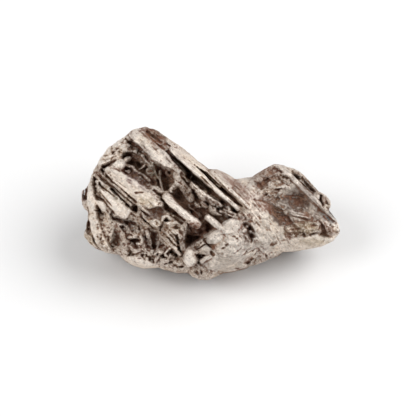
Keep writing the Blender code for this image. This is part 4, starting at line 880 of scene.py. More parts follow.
def tail(face):
    """The tail: its crown, the ridge to the tip, the step behind it, two dishes and the ochre slab."""
    # the tail's broad forms
    for swell in [
        (17.0, 0.5, 2.8, 1.5, -15, -1.4), (14.0, -2.8, 2.3, 1.4, -30, -1.3),
        (13.4, -0.1, 1.6, 0.8, -10, 0.8), (11.8, 3.7, 3.2, 0.8, 35, 0.6), (15.4, 3.4, 1.6, 0.9, -15, 0.5),
        (24.4, -4.6, 1.5, 1.4, 0, 0.6),
    ]:
        face.swell(*swell)
    # the left flank of its crown
    face.lamellae((11.8, 3.7, 3.4, 1.7, 35), 36, 0.55, 0.7, 0.4, seed=71)
    face.lamellae((12.2, 6.2, 2.2, 0.9, 25), 32, 0.4, 0.3, 0.25, seed=77)
    for x, y, rise in [(12.2, 4.9, 0.8), (11.8, 3.5, 0.7), (11.4, 2.1, 0.6), (10.9, 0.8, 0.4)]:
        face.bar([(x, y, 0.3), (x + 1.3, y + 0.7, 0.45), (x + 2.8, y + 1.0, 0.3)], rise, tilt=0.4,
                ragged=0.6, wall=5.0, grain=0.2, crown=0.05)
    face.slot([(12.4, 2.6, 0.1), (13.3, 2.6, 0.2), (14.0, 2.9, 0.1)], 0.9, edge=0.12)
    face.slot([(13.4, 4.6, 0.08), (14.0, 4.3, 0.2), (14.5, 4.4, 0.06)], 0.8, edge=0.12)
    face.slot([(12.6, 5.4, 0.05), (13.6, 5.6, 0.1), (14.6, 5.2, 0.05)], 0.5, edge=0.12)
    face.slot([(14.6, 3.9, 0.06), (15.4, 3.4, 0.14), (16.4, 2.6, 0.06)], 0.6, edge=0.12)
    face.rubble((13.2, 1.2, 2.0, 1.0, 0), 0.36, 0.5, 0.3, seed=72)
    face.lamellae((13.6, -0.3, 1.6, 0.8, -10), -20, 0.3, 0.35, 0.2, seed=78)
    # the ridge
    face.bar([(13.2, 7.5, 0.35), (15.1, 6.1, 0.45), (16.9, 4.2, 0.45), (18.9, 2.2, 0.45),
            (21.3, -0.1, 0.42), (23.4, -2.0, 0.4), (25.0, -3.5, 0.3)], (0.8, 0.9), crown=0.1, wall=4.0,
            grain=0.12, ragged=0.15)
    face.slot([(15.2, 5.2, 0.04), (17.2, 3.1, 0.09), (19.4, 1.0, 0.07), (21.6, -1.1, 0.09),
            (23.4, -2.8, 0.04)], 0.6, edge=0.1)
    face.slot([(15.6, 6.3, 0.06), (17.5, 4.4, 0.12), (19.7, 2.3, 0.1), (21.6, 0.4, 0.1),
            (22.6, -0.6, 0.05)], 0.7, edge=0.1)
    for k in range(6):
        x, y = 15.0 + 1.5 * k, 5.6 - 1.45 * k
        face.slot([(x, y, 0.02), (x + 1.1, y - 1.1, 0.06), (x + 2.3, y - 2.2, 0.02)], 0.4, edge=0.08)
    face.lamellae((19.4, 1.3, 4.6, 0.8, -43), -43, 0.26, 0.25, 0.35, seed=73)
    face.lamellae((23.6, -3.2, 2.2, 1.0, -43), -40, 0.26, 0.3, 0.3, seed=79)
    # the broken edge behind it
    for knob in [
        (17.2, 6.0, 1.0, 0.45, -35, 0.7), (18.9, 4.9, 0.8, 0.35, -42, 0.6),
        (20.6, 3.3, 0.9, 0.3, -45, 0.6),
    ]:
        face.knob(*knob)
    face.hollow([(16.4, 5.7), (17.2, 5.4), (18.0, 4.7), (17.5, 4.5), (16.7, 5.0)], 0.9, run=0.2)
    face.hollow([(18.6, 4.2), (19.4, 3.7), (20.6, 2.4), (20.7, 1.9), (20.0, 2.3), (18.9, 3.5)], 0.9,
            run=0.25)
    face.knob(19.7, 3.2, 0.35, 0.25, -45, -0.2)
    face.rod([(18.6, 4.8, 0.1), (19.6, 3.8, 0.12), (21.0, 2.4, 0.1)], 0.7, grain=0.0)
    # the nub at its upper edge
    face.knob(23.2, 0.4, 1.1, 1.6, 10, 1.0)
    face.rubble((22.9, 0.6, 1.4, 1.4, 0), 0.5, 0.6, 0.3, seed=74)
    face.slot([(22.2, -0.6, 0.15), (21.8, 0.6, 0.2), (22.0, 1.6, 0.12)], 1.2)
    # the floor of the two dishes
    face.pits((17.0, 0.2, 2.8, 1.6, -15), 0.8, 0.35, seed=80)
    face.slot([(15.4, 1.3, 0.06), (17.2, 1.4, 0.16), (18.6, 0.6, 0.1)], 0.5, edge=0.3)
    face.lamellae((17.6, -2.2, 3.4, 1.2, -10), -12, 0.5, 0.5, 0.3, seed=81)
    face.slot([(15.6, -2.6, 0.06), (17.4, -2.9, 0.14), (19.0, -3.4, 0.16), (20.4, -3.6, 0.1),
            (21.6, -3.4, 0.04)], 0.9, edge=0.15)
    face.slot([(11.8, -1.3, 0.05), (13.2, -1.6, 0.12), (14.8, -1.4, 0.06)], 0.6, edge=0.25)
    # the ochre slab
    face.bar([(15.4, -5.0, 0.5), (17.0, -4.7, 0.8), (19.0, -4.7, 0.95), (20.9, -4.8, 0.85)], (0.6, 1.0),
            crown=0.15, tilt=-0.2, grain=0.15, wall=4.0)
    face.lamellae((18.2, -4.8, 3.4, 1.3, 5), 12, 0.3, 0.35, 0.3, seed=75)
    face.rubble((18.0, -6.1, 3.6, 0.7, 5), 0.36, 0.5, 0.4, seed=82)
    face.slot([(16.4, -6.0, 0.05), (17.6, -6.3, 0.12), (18.4, -6.2, 0.05)], 0.5, edge=0.2)
    face.slot([(19.4, -6.3, 0.05), (20.6, -6.0, 0.14), (21.4, -5.0, 0.14), (21.5, -4.2, 0.06)], 0.6,
            edge=0.2)
    face.slot([(14.4, -5.8, 0.06), (14.8, -6.8, 0.1), (15.4, -7.8, 0.06)], 0.7, edge=0.15)
    # the right end
    face.hollow([(21.7, -4.2), (22.4, -3.8), (23.0, -5.0), (23.6, -6.2), (25.0, -7.0), (23.6, -7.0),
            (21.2, -6.6), (21.6, -5.4)], 0.8, run=0.5)
    face.rod([(22.0, -3.6, 0.1), (22.6, -4.6, 0.1), (23.0, -5.6, 0.08)], 0.4)
    face.knob(24.3, -5.0, 1.6, 1.3, -20, 0.8, power=3.0)
    face.rubble((24.4, -4.8, 1.5, 1.3, 0), 0.5, 0.5, 0.3, seed=76)
    face.slot([(23.6, -4.2, 0.06), (25.0, -4.2, 0.1)], 0.5)


# ---------------------------------------------------------------------------------------------------
# The flanks and the back.


def flank_places(count, rng):
    """Frames spread evenly over the sides and the back: place k is k golden angles round, at a sweep
    whose cosine grows evenly. Each gives its point, outward direction, the band direction that it
    follows, and how far its relief goes, which dies away towards the outline."""
    for k in range(count):
        depth = 0.16 + 0.80 * (k + 0.5) / count
        sweep = math.acos(-depth) + rng.uniform(-0.05, 0.05)
        point, outward = skin_frame(k * GOLDEN_ANGLE + rng.uniform(-0.2, 0.2), sweep)
        band = np.array(BANDS[k % len(BANDS)])
        along = unit(band - band @ outward * outward)
        yield point, outward, along, min(1.0, 1.8 * depth)


class Flanks:
    """The relief of the flanks and the back, as a distance along each skin point's outward direction."""

    def __init__(self, points, outward):
        self.points, self.outward = points, outward
        self.relief = np.zeros(points.shape[:-1])

    def around(self, place, up, along, reach):
        """The points near a place, as places along, across and above it, and how squarely they face it."""
        here = np.nonzero(np.abs(self.points[:, 0] - place[0]) < reach)[0]
        for axis in (1, 2):
            here = here[np.abs(self.points[here, axis] - place[axis]) < reach]
        facing = self.outward[here] @ up
        here, facing = here[facing > 0.7], facing[facing > 0.7]
        gap = self.points[here] - place
        return here, gap @ along, gap @ np.cross(up, along), gap @ up, facing

    def raise_to(self, here, inside, wanted):
        """Keeps the higher of the relief and what is wanted, up to the highest that is allowed."""
        higher = np.maximum(self.relief[here], np.minimum(wanted, HIGHEST))
        self.relief[here] = np.where(inside, higher, self.relief[here])

    def hollows(self):
        """Bowls, deep * (1 - (u / long)^2 - (v / wide)^2)^(1/2)."""
        rng = np.random.default_rng(FLANK_SEED)
        for place, up, along, share in flank_places(FLANK_HOLLOWS, rng):
            long, wide, deep = rng.uniform(2.2, 5.0), rng.uniform(1.2, 2.4), share * rng.uniform(1.4, 2.8)
            here, u, v, _, _ = self.around(place, up, along, long)
            bowl = deep * np.sqrt(np.maximum(1.0 - (u / long) ** 2 - (v / wide) ** 2, 0.0))
            self.relief[here] = np.minimum(self.relief[here], -bowl)

    def plates(self):
        """Flat plates along the band directions, a little crowned, with ragged worn edges."""
        rng = np.random.default_rng(FLANK_SEED + 1)
        for place, up, along, share in flank_places(FLANK_PLATES, rng):
            reach = share * rng.uniform(2.2, 4.8)
            wide, proud = 0.5 * rng.uniform(1.0, 3.0), share * rng.uniform(0.5, 1.5)
            here, u, v, height, facing = self.around(place, up, along, reach + 0.5)
            ragged = 0.14 * rough(np.stack([u, v], axis=-1), 0.8, 2, 21)
            edge = np.maximum(np.abs(u) - reach, np.abs(v) - wide) + ragged
            worn = proud + 0.25 * (1.0 - (v / wide) ** 2) - 3.0 * np.maximum(edge + 0.2, 0.0)
            self.raise_to(here, edge < 0.0, (worn - height) / facing)

    def knobs(self):
        """Domes, as high above the skin as (1 - r^2)^(1/2) makes them."""
        rng = np.random.default_rng(FLANK_SEED + 2)
        for place, up, along, share in flank_places(FLANK_KNOBS, rng):
            long, wide = rng.uniform(1.4, 2.8), rng.uniform(1.2, 2.0)
            here, u, v, height, facing = self.around(place, up, along, long)
            r = np.hypot(u / long, v / wide)
            dome = share - 0.8 * (long + wide) * (1.0 - np.sqrt(np.maximum(1.0 - r**2, 0.0)))
            self.raise_to(here, r < 1.0, (dome - height) / facing)

    def broken(self, size, rise, crack, seed):
        """Broken grains in three dimensions: cells drawn out along a band direction, each with a height and
        a tilt of its own, and a crack between two cells."""
        for k, band in enumerate(BANDS):
            first = unit(np.array(band))
            second = unit(np.cross(first, BANDS[k - 1]))
            axes = np.stack([first / 2.8, second, np.cross(first, second)], axis=-1) / size
            patch = noise(self.points, 7.0, seed + k) + 0.35 * noise(self.points, 1.6, seed + k)
            share = ease(0.5 + 4.0 * (patch - 0.05))
            here = np.nonzero(share > 0.0)
            near, next_near, cell, away = cells(self.points[here] @ axes, seed + 10 * k)
            height, tilt_a, tilt_b = (lattice(cell, seed + 3 * k + n) - 0.5 for n in range(3))
            body = rise * (height + tilt_a * away[..., 1] + tilt_b * away[..., 2])
            cut = crack * (1.0 - ease((next_near - near) / 0.25))
            self.relief[here] += share[here] * (body - cut)


# ---------------------------------------------------------------------------------------------------
# The mesh.


def face_turn():
    """The turn that lays the face's frame down as the lump rests."""
    c, s = math.cos(math.radians(LEAN_DEG)), math.sin(math.radians(LEAN_DEG))
    return np.array([[1.0, 0.0, 0.0], [0.0, c, -s], [0.0, s, c]])


def to_world(points):
    """Face millimetres, turned and shifted to the resting lump's metres."""
    return (points @ face_turn().T - [PLAN_CENTRE[0], PLAN_CENTRE[1], REST_LEVEL]) * MM


def to_face(points):
    """The resting lump's metres, brought back to face millimetres."""
    return (points / MM + [PLAN_CENTRE[0], PLAN_CENTRE[1], REST_LEVEL]) @ face_turn()


def rings_to_shell(rings, first_pole, last_pole):
    """Points and triangles of a closed shell: rings of points, joined one to the next and to a pole at
    either end."""
    count, sides = rings.shape[:2]
    points = np.concatenate([rings.reshape(-1, 3), [first_pole, last_pole]])
    here = np.arange(count * sides).reshape(count, sides)
    after = np.roll(here, -1, axis=1)
    a, b, c, d = here[:-1], here[1:], after[1:], after[:-1]
    strips = [np.stack(corners, axis=-1).reshape(-1, 3) for corners in ((a, b, c), (a, c, d))]
    top = np.stack([np.full(sides, count * sides), here[0], after[0]], axis=-1)
    end = np.stack([np.full(sides, count * sides + 1), after[-1], here[-1]], axis=-1)
    return points, np.concatenate([*strips, top, end])


def carved_skin():
    """The skin with its relief. On the open face a point moves out of the face, by the relief over its x
    and y, and behind the outline it moves along the skin's outward direction."""
    angle = np.linspace(0.0, 2 * math.pi, SKIN_SIDES, endpoint=False)
    sweep = np.linspace(0.0, math.pi, SKIN_RINGS + 1)[1:-1]
    sweep, angle = np.meshgrid(sweep, angle, indexing="ij")
    points, outward = skin_frame(angle, sweep)
    front = sweep < math.pi / 2 + WRAP
    face = OpenFace(points[front][:, 0], points[front][:, 1])
    carve(face)
    past_rim = ease((sweep[front] - math.pi / 2) / WRAP)
    behind = sweep > math.pi / 2 - 0.1
    flanks = Flanks(points[behind], outward[behind])
    flanks.hollows()
    flanks.plates()
    flanks.knobs()
    flanks.broken(0.9, 0.5, 0.22, 7)
    moved = points.copy()
    grown = flanks.relief * ease((sweep[behind] - math.pi / 2 + 0.1) / 0.4)
    moved[behind] += grown[:, None] * outward[behind]
    steeper = 1.0 / np.maximum(outward[front][:, 2], 0.6)
    moved[front, 2] += face.relief * steeper * (1.0 - past_rim)
    moved = within_outline(moved)
    poles = [moved[0].mean(axis=0), moved[-1].mean(axis=0)]
    return rings_to_shell(moved, *poles)


def within_outline(points):
    """Draws in what reaches past the outline: a distance d outside it becomes ROOM * tanh(d / ROOM)."""
    out = points[..., :2] - CORE_CENTRE
    radius = np.hypot(out[..., 0], out[..., 1])
    limit = outline_radius(np.arctan2(out[..., 1], out[..., 0]))
    outside = np.maximum(radius - limit, 0.0)
    kept = radius - outside + RIM_ROOM * np.tanh(outside / RIM_ROOM)
    drawn = points.copy()
    drawn[..., :2] = CORE_CENTRE + out * (kept / np.maximum(radius, 1e-9))[..., None]
    return drawn


def within_box(points):
    """Draws in what reaches past the lump's box: a distance d outside it becomes ROOM * tanh(d / ROOM),
    and nothing goes under the floor."""
    low, high = np.array(CAD_BOX)
    room = BOX_ROOM * MM
    over = room * np.tanh(np.maximum(points - high, 0.0) / room)
    under = room * np.tanh(np.maximum(low - points, 0.0) / room) * [1.0, 1.0, 0.0]
    return np.clip(points, low, high) + over - under


def ellipsoid(centre, radii, axes):
    """A squashed ball: radii times (cos u sin v, sin u sin v, cos v) along the axes."""
    u = np.linspace(0.0, 2 * math.pi, 96, endpoint=False)
    v = np.linspace(0.0, math.pi, 49)[1:-1]
    v, u = np.meshgrid(v, u, indexing="ij")
    ball = np.stack([np.cos(u) * np.sin(v), np.sin(u) * np.sin(v), np.cos(v)], axis=-1) * radii
    tip = np.array([0.0, 0.0, radii[2]])
    return rings_to_shell(centre + ball @ axes, centre + tip @ axes, centre - tip @ axes)


def feet():
    """The bumps of the belly, laid out where they rest and brought into the face's frame."""
    axes = face_turn()
    for x, y in FEET:
        centre = to_face(np.array([x, y, FOOT_RADII[2] - FOOT_WEAR]) * MM)
        points, faces = ellipsoid(centre, FOOT_RADII, axes)
        yield within_outline(points), faces


def mesh_of(name, points, faces):
    """A mesh of triangles, from whole arrays."""
    mesh = bpy.data.meshes.new(name)
    mesh.vertices.add(len(points))
    mesh.vertices.foreach_set("co", np.ascontiguousarray(points, dtype=np.float32).ravel())
    mesh.loops.add(faces.size)
    mesh.loops.foreach_set("vertex_index", faces.astype(np.int32).ravel())
    mesh.polygons.add(len(faces))
    mesh.polygons.foreach_set("loop_start", np.arange(0, faces.size, 3, dtype=np.int32))
    mesh.update(calc_edges=True)
    return mesh


def read(mesh):
    """Points, outward directions and edges of a mesh, as arrays."""
    points = np.empty(len(mesh.vertices) * 3, dtype=np.float32)
    outward = np.empty_like(points)
    edges = np.empty(len(mesh.edges) * 2, dtype=np.int32)
    mesh.vertices.foreach_get("co", points)
    mesh.vertex_normals.foreach_get("vector", outward)
    mesh.edges.foreach_get("vertices", edges)
    return points.reshape(-1, 3).astype(float), outward.reshape(-1, 3).astype(float), edges.reshape(-1, 2)


def apply_modifier(obj, kind, **settings):
    """Replaces an object's mesh by what one modifier makes of it."""
    modifier = obj.modifiers.new(kind.lower(), kind)
    for key, value in settings.items():
        setattr(modifier, key, value)
    shaped = bpy.data.meshes.new_from_object(obj.evaluated_get(bpy.context.evaluated_depsgraph_get()))
    obj.modifiers.clear()
    old, obj.data = obj.data, shaped
    bpy.data.meshes.remove(old)


def thin_out(lump):
    """Brings the mesh down to its number of triangles, and keeps more of them on the open face."""
    _, outward, _ = read(lump.data)
    spare = lump.vertex_groups.new(name="spare")
    spare.add(np.nonzero(outward[:, 2] < FACE_SIDE)[0].tolist(), 1.0, "REPLACE")
    spare.add(np.nonzero(outward[:, 2] >= FACE_SIDE)[0].tolist(), FACE_SPARE, "REPLACE")
    count = sum(len(polygon.vertices) - 2 for polygon in lump.data.polygons)
    share = min(1.0, TRIANGLES / count)
    apply_modifier(lump, "DECIMATE", ratio=share, use_collapse_triangulate=True,
                   vertex_group="spare", vertex_group_factor=1.0)
    lump.vertex_groups.clear()


def drop_crumbs(lump):
    """Drops the pairs of triangles that the thinning leaves back to back on the same three points, and all
    but the largest connected body: each point takes the lowest number that its triangles hold, until no
    number changes."""
    points, _, _ = read(lump.data)
    lump.data.calc_loop_triangles()
    faces = np.empty(len(lump.data.loop_triangles) * 3, dtype=np.int32)
    lump.data.loop_triangles.foreach_get("vertices", faces)
    faces = faces.reshape(-1, 3)
    _, which, times = np.unique(np.sort(faces, axis=1), axis=0, return_inverse=True, return_counts=True)
    faces = faces[times[which.ravel()] == 1]
    body, changed = np.arange(len(points)), True
    while changed:
        lower = body.copy()
        for corner in faces.T:
            np.minimum.at(lower, corner, body[faces].min(axis=1))
        lower = lower[lower]
        body, changed = lower, (lower != body).any()
    faces = faces[body[faces[:, 0]] == np.bincount(body[faces[:, 0]]).argmax()]
    kept, faces = np.unique(faces, return_inverse=True)
    crumbly, lump.data = lump.data, mesh_of("iron_lump", points[kept], faces.reshape(-1, 3))
    bpy.data.meshes.remove(crumbly)


def roughen(mesh):
    """Moves every point along its normal: faint broken grains, hammered swells and pits, and points below
    the floor come up to it."""
    points, outward, _ = read(mesh)
    near, next_near, cell, away = cells(points / 0.75, 61)
    tilt = (lattice(cell, 64) - 0.5) * away[:, 0] + (lattice(cell, 65) - 0.5) * away[:, 1]
    height = 0.05 * (lattice(cell, 63) - 0.5) + 0.14 * tilt
    height -= 0.03 * (1.0 - ease((next_near - near) / 0.2))
    height += 0.05 * rough(points, 1.7, 2, 67) + 0.03 * noise(points, 0.33, 69)
    height *= 1.0 - 0.65 * (outward[:, 2] > 0.0) * smoothness(points[:, 0], points[:, 1])
    moved = to_world(points + height[:, None] * outward)
    moved[:, 2] = np.maximum(moved[:, 2], 0.0)
    mesh.vertices.foreach_set("co", to_face(moved).astype(np.float32).ravel())
    mesh.update()


def spread(values, edges, rounds):
    """Values averaged over each point's neighbours, this many times over."""
    count = len(values)
    ends = np.concatenate([edges[:, 0], edges[:, 1]])
    others = np.concatenate([edges[:, 1], edges[:, 0]])
    share = 1.0 / np.maximum(np.bincount(ends, minlength=count), 1)
    for _ in range(rounds):
        sums = [np.bincount(ends, weights=column[others], minlength=count) for column in values.T]
        values = 0.5 * values + 0.5 * np.stack(sums, axis=-1) * share[:, None]
    return values


def mark(mesh, name, values):
    """Stores one number for each point, for the material to read."""
    layer = mesh.attributes.new(name, "FLOAT", "POINT")
    layer.data.foreach_set("value", np.clip(values, 0.0, 1.0).astype(np.float32))


def paint(mesh):
    """Masks for the material: how hollow a point lies in its surroundings, how far it stands out of them,
    and where each stain lies. The first darkens the colour as patina and painted shade, the second brightens
    it as worn metal and painted highlight."""
    points, outward, edges = read(mesh)
    close = spread(points, edges, 10)
    wide = spread(close, edges, 60)
    nook = ((close - points) * outward).sum(axis=-1)
    bowl = ((wide - points) * outward).sum(axis=-1)
    x, y = points[:, 0], points[:, 1]
    share = np.hypot(x - CORE_CENTRE[0], y - CORE_CENTRE[1])
    share = share / outline_radius(np.arctan2(y - CORE_CENTRE[1], x - CORE_CENTRE[0]))
    front = ease((outward[:, 2] + 0.45) / 0.4) * (points[:, 2] > -3.0)
    sunk = front * ease((face_height(x, y, np.minimum(share, 0.97)) - points[:, 2] - 1.1) / 1.8)
    # hollow darkens nooks, bowls and the face's deep hollows to patina colour: real patina there, and also
    # painted shade
    mark(mesh, "hollow", 0.55 * ease(nook / 0.11) + 0.4 * ease((bowl - 0.12) / 0.9) + 0.45 * sunk)
    # crest and edge brighten broad crests and fine edges: worn metal, and also painted highlight
    mark(mesh, "crest", ease(-bowl / 0.6))
    proud = ease(-nook / 0.10)
    mark(mesh, "edge", proud * (1.0 - 0.7 * np.maximum(ease(bowl / 0.9), sunk)))
    mark(mesh, "flaky", 1.0 - front * smoothness(x, y))
    ragged = 0.35 * rough(np.stack([x, y], axis=-1), 1.0, 3, 91)
    for name, spots in STAINS.items():
        wash = np.zeros_like(x)
        for spot_x, spot_y, along, across, turn, strength in spots:
            u, v = turned(x - spot_x, y - spot_y, turn)
            r = np.hypot(u / along, v / across) + ragged
            wash = np.maximum(wash, strength * ease((1.35 - r) / 0.8))
        if name == "pale":
            mark(mesh, name, front * wash * ease((0.02 - nook) / 0.05))
            continue
        back = 0.55 * ease(1.6 * noise(points, 5.0, 95 + len(name)) - 0.1)
        mark(mesh, name, front * wash + (1.0 - front) * back)


# ---------------------------------------------------------------------------------------------------
# The material.


class Nodes:
    """Short hands for one material's node tree."""

    def __init__(self, material):
        material.use_nodes = True
        self.tree = material.node_tree
        self.shader = self.tree.nodes["Principled BSDF"]
        self.place = self.tree.nodes.new("ShaderNodeTexCoord").outputs["Object"]

    def link(self, value, socket):
        """Joins another node's output to a socket, or sets a plain value on it."""
        if isinstance(value, bpy.types.NodeSocket):
            self.tree.links.new(value, socket)
        else:
            socket.default_value = value

    def attribute(self, name):
        """One of the mesh's masks."""
        node = self.tree.nodes.new("ShaderNodeAttribute")
        node.attribute_name = name
        return node.outputs["Fac"]

    def math(self, operation, a, b=0.0, clamp=False):
        """One sum, product or the like."""
        node = self.tree.nodes.new("ShaderNodeMath")
        node.operation, node.use_clamp = operation, clamp
        self.link(a, node.inputs[0])
        self.link(b, node.inputs[1])
        return node.outputs[0]

    def noise(self, size_mm, detail=4.0, roughness=0.6):
        """Cloudy noise with swells of this size."""
        node = self.tree.nodes.new("ShaderNodeTexNoise")
        self.link(self.place, node.inputs["Vector"])
        node.inputs["Scale"].default_value = 1.0 / (size_mm * MM)
        node.inputs["Detail"].default_value = detail
        node.inputs["Roughness"].default_value = roughness
        return node.outputs["Fac"]

    def strands(self, band, long_mm, wide_mm):
        """Noise drawn out along a band direction of the face's frame."""
        first = unit(np.array(band))
        second = unit(np.cross(first, [0.0, 0.0, 1.0]))
        axes = (first / long_mm, second / wide_mm, np.cross(first, second) / (4.0 * wide_mm))
        place = self.tree.nodes.new("ShaderNodeCombineXYZ")
        for socket, axis in zip(place.inputs, axes):
            part = self.tree.nodes.new("ShaderNodeVectorMath")
            part.operation = "DOT_PRODUCT"
            self.link(self.place, part.inputs[0])
            self.link(tuple(face_turn() @ axis / MM), part.inputs[1])
            self.link(part.outputs["Value"], socket)
        node = self.tree.nodes.new("ShaderNodeTexNoise")
        self.link(place.outputs["Vector"], node.inputs["Vector"])
        node.inputs["Scale"].default_value = 1.0
        node.inputs["Detail"].default_value = 1.0
        return node.outputs["Fac"]

    def chips(self, size_mm):
        """Small broken chips: a height that falls from the middle of each, the gaps between them, and a
        tone for each."""
        nodes = []
        for feature in ("F1", "DISTANCE_TO_EDGE"):
            node = self.tree.nodes.new("ShaderNodeTexVoronoi")
            node.feature = feature
            node.inputs["Scale"].default_value = 1.0 / (size_mm * MM)
            self.link(self.wavy_place(0.25 * size_mm), node.inputs["Vector"])
            nodes.append(node)
        height = self.step(nodes[0].outputs["Distance"], 0.0, 0.8, 1.0, 0.0)
        gap = self.step(nodes[1].outputs["Distance"], 0.0, 0.07, 1.0, 0.0)
        return height, gap, nodes[0].outputs["Color"]

    def wavy_place(self, sway_mm):
        """The place, moved about by noise."""
        wave = self.tree.nodes.new("ShaderNodeTexNoise")
        wave.inputs["Scale"].default_value = 1.0 / (0.8 * MM)
        wave.inputs["Detail"].default_value = 3.0
        self.link(self.place, wave.inputs["Vector"])
        move = self.tree.nodes.new("ShaderNodeVectorMath")
        move.operation = "MULTIPLY_ADD"
        self.link(wave.outputs["Color"], move.inputs[0])
        self.link((2.0 * sway_mm * MM,) * 3, move.inputs[1])
        self.link(self.place, move.inputs[2])
        return move.outputs["Vector"]

    def crease(self, value, width):
        """1 where a value passes one half, falling to 0 within a width on either side."""
        return self.step(self.math("ABSOLUTE", self.math("SUBTRACT", value, 0.5)), 0.0, width, 1.0, 0.0)

    def step(self, value, low, high, to_low=0.0, to_high=1.0):
        """Takes the range low to high smoothly to another range."""
        node = self.tree.nodes.new("ShaderNodeMapRange")
        node.interpolation_type = "SMOOTHSTEP"
        self.link(value, node.inputs["Value"])
        for name, limit in (("From Min", low), ("From Max", high), ("To Min", to_low), ("To Max", to_high)):
            self.link(limit, node.inputs[name])
        return node.outputs["Result"]

    def times(self, a, b):
        """The product of two values."""
        return self.math("MULTIPLY", a, b)

    def mix(self, share, a, b, blend="MIX"):
        """Colour a, with this share of colour b."""
        node = self.tree.nodes.new("ShaderNodeMix")
        node.data_type, node.blend_type = "RGBA", blend
        self.link(share, node.inputs["Factor"])
        for value, socket in ((a, node.inputs[6]), (b, node.inputs[7])):
            self.link((*value, 1.0) if isinstance(value, tuple) else value, socket)
        return node.outputs[2]


def iron_material():
    """Pale worn nickel-iron, dark brown in its hollows with patina and painted shade, brighter on its edges
    with wear and painted highlight, with rust and mineral stains, some of which are painted light and
    painted shade.
    """
    material = bpy.data.materials.new("meteoritic_iron_with_painted_light")
    nodes = Nodes(material)
    hollow, edge = nodes.attribute("hollow"), nodes.attribute("edge")
    crest, pale = nodes.attribute("crest"), nodes.attribute("pale")
    broad, mottle, speck = nodes.noise(5.0), nodes.noise(1.0, 6.0, 0.7), nodes.noise(0.35, 4.0, 0.7)
    strands = nodes.strands(BANDS[0], 3.0, 0.35)
    crossing = nodes.strands(BANDS[1], 2.0, 0.30)
    flaky = nodes.step(nodes.attribute("flaky"), 0.0, 1.0, 0.08, 1.0)
    chips, gaps, tone = nodes.chips(CHIP_SIZE)

    # Bare metal, dull and specked, and brighter on edges and crests, where it is worn and where a highlight
    # is painted; the pale stains brighten it as bare metal and, at one spot, as painted light.
    metal = nodes.mix(nodes.step(broad, 0.35, 0.65), METAL, WARM_METAL)
    dull = nodes.times(nodes.step(mottle, 0.45, 0.70, 0.0, 0.5), nodes.step(flaky, 0.0, 1.0, 0.5, 1.0))
    metal = nodes.mix(dull, metal, DULL_METAL)
    metal = nodes.mix(nodes.times(nodes.step(speck, 0.56, 0.72, 0.0, 0.6), flaky), metal, SPECK)
    rubbed_and_highlit = nodes.math("ADD", nodes.times(edge, 0.6), nodes.times(crest, 0.5), clamp=True)
    metal = nodes.mix(nodes.math("MAXIMUM", rubbed_and_highlit, pale), metal, BRIGHT_METAL_AND_HIGHLIGHT)
    chipped = nodes.times(nodes.step(tone, 0.45, 0.8), nodes.times(flaky, 0.5))
    metal = nodes.mix(chipped, metal, CHIPPED_METAL)

    # Stains, weaker on the edges and on bare metal. The broad slate washes over the right part are also
    # painted shade, and the brown and mauve spot below the upper slab's end is painted shade.
    colour, cover = metal, 0.0
    for name, tint in STAIN_TINTS.items():
        patchy = nodes.times(nodes.attribute(name), nodes.step(mottle, 0.25, 0.6, 0.55, 1.15))
        share = nodes.math("MULTIPLY", patchy, nodes.step(edge, 0.2, 0.9, 1.0, 0.45), clamp=True)
        share = nodes.times(share, nodes.step(pale, 0.0, 1.0, 1.0, 0.2))
        share = nodes.times(share, nodes.step(speck, 0.52, 0.70, 1.0, 0.7))
        colour = nodes.mix(share, colour, tint)
        cover = nodes.math("MAXIMUM", share, cover)

    # Dark patina in the hollows, between the chips and in lines along the bands. Through the hollow mask it
    # is also painted shade in recesses and deep hollows.
    line = nodes.math("MAXIMUM", nodes.crease(strands, 0.03), nodes.times(nodes.crease(crossing, 0.02), 0.6))
    line = nodes.times(line, nodes.step(mottle, 0.38, 0.55))
    depth = nodes.math("ADD", hollow, nodes.step(mottle, 0.3, 0.7, -0.12, 0.18))
    depth = nodes.math("ADD", depth, nodes.times(line, 0.6))
    depth = nodes.math("ADD", depth, nodes.times(nodes.times(gaps, flaky), 0.6))
    depth = nodes.math("SUBTRACT", depth, nodes.times(pale, 0.9))
    share = nodes.step(depth, 0.15, 0.75)
    colour = nodes.mix(share, colour, nodes.mix(nodes.step(broad, 0.4, 0.6), *PATINA_AND_SHADE))
    colour = nodes.mix(1.0, colour, nodes.step(speck, 0.35, 0.65, 0.84, 1.14), "MULTIPLY")
    nodes.link(colour, nodes.shader.inputs["Base Color"])

    # What is covered shines less like metal.
    cover = nodes.math("MAXIMUM", nodes.times(cover, 0.7), share)
    nodes.link(nodes.step(cover, 0.0, 1.0, 0.65, 0.05), nodes.shader.inputs["Metallic"])
    nodes.link(nodes.step(cover, 0.0, 1.0, 0.5, 0.2), nodes.shader.inputs["Specular IOR Level"])
    gloss = nodes.step(cover, 0.0, 1.0, 0.58, 0.9)
    gloss = nodes.math("ADD", gloss, nodes.step(speck, 0.3, 0.7, -0.06, 0.08))
    nodes.link(gloss, nodes.shader.inputs["Roughness"])

    # Relief too fine for the mesh.
    grain = nodes.times(nodes.noise(0.5, 6.0, 0.7), 0.8)
    for part, height in ((speck, 0.4), (strands, 0.5), (line, -0.5), (nodes.times(chips, flaky), 1.2)):
        grain = nodes.math("ADD", grain, nodes.times(part, height))
    bump = nodes.tree.nodes.new("ShaderNodeBump")
    bump.inputs["Strength"].default_value = BUMP_STRENGTH
    bump.inputs["Distance"].default_value = BUMP_DEPTH * MM
    nodes.link(grain, bump.inputs["Height"])
    nodes.link(bump.outputs["Normal"], nodes.shader.inputs["Normal"])
    return material


def floor_material():
    """Plain white paper."""
    material = bpy.data.materials.new("white_paper")
    nodes = Nodes(material)
    nodes.shader.inputs["Base Color"].default_value = (FLOOR_WHITE, FLOOR_WHITE, FLOOR_WHITE, 1.0)
    nodes.shader.inputs["Roughness"].default_value = 0.9
    nodes.shader.inputs["Specular IOR Level"].default_value = 0.1
    return material


# ---------------------------------------------------------------------------------------------------
# The scene.


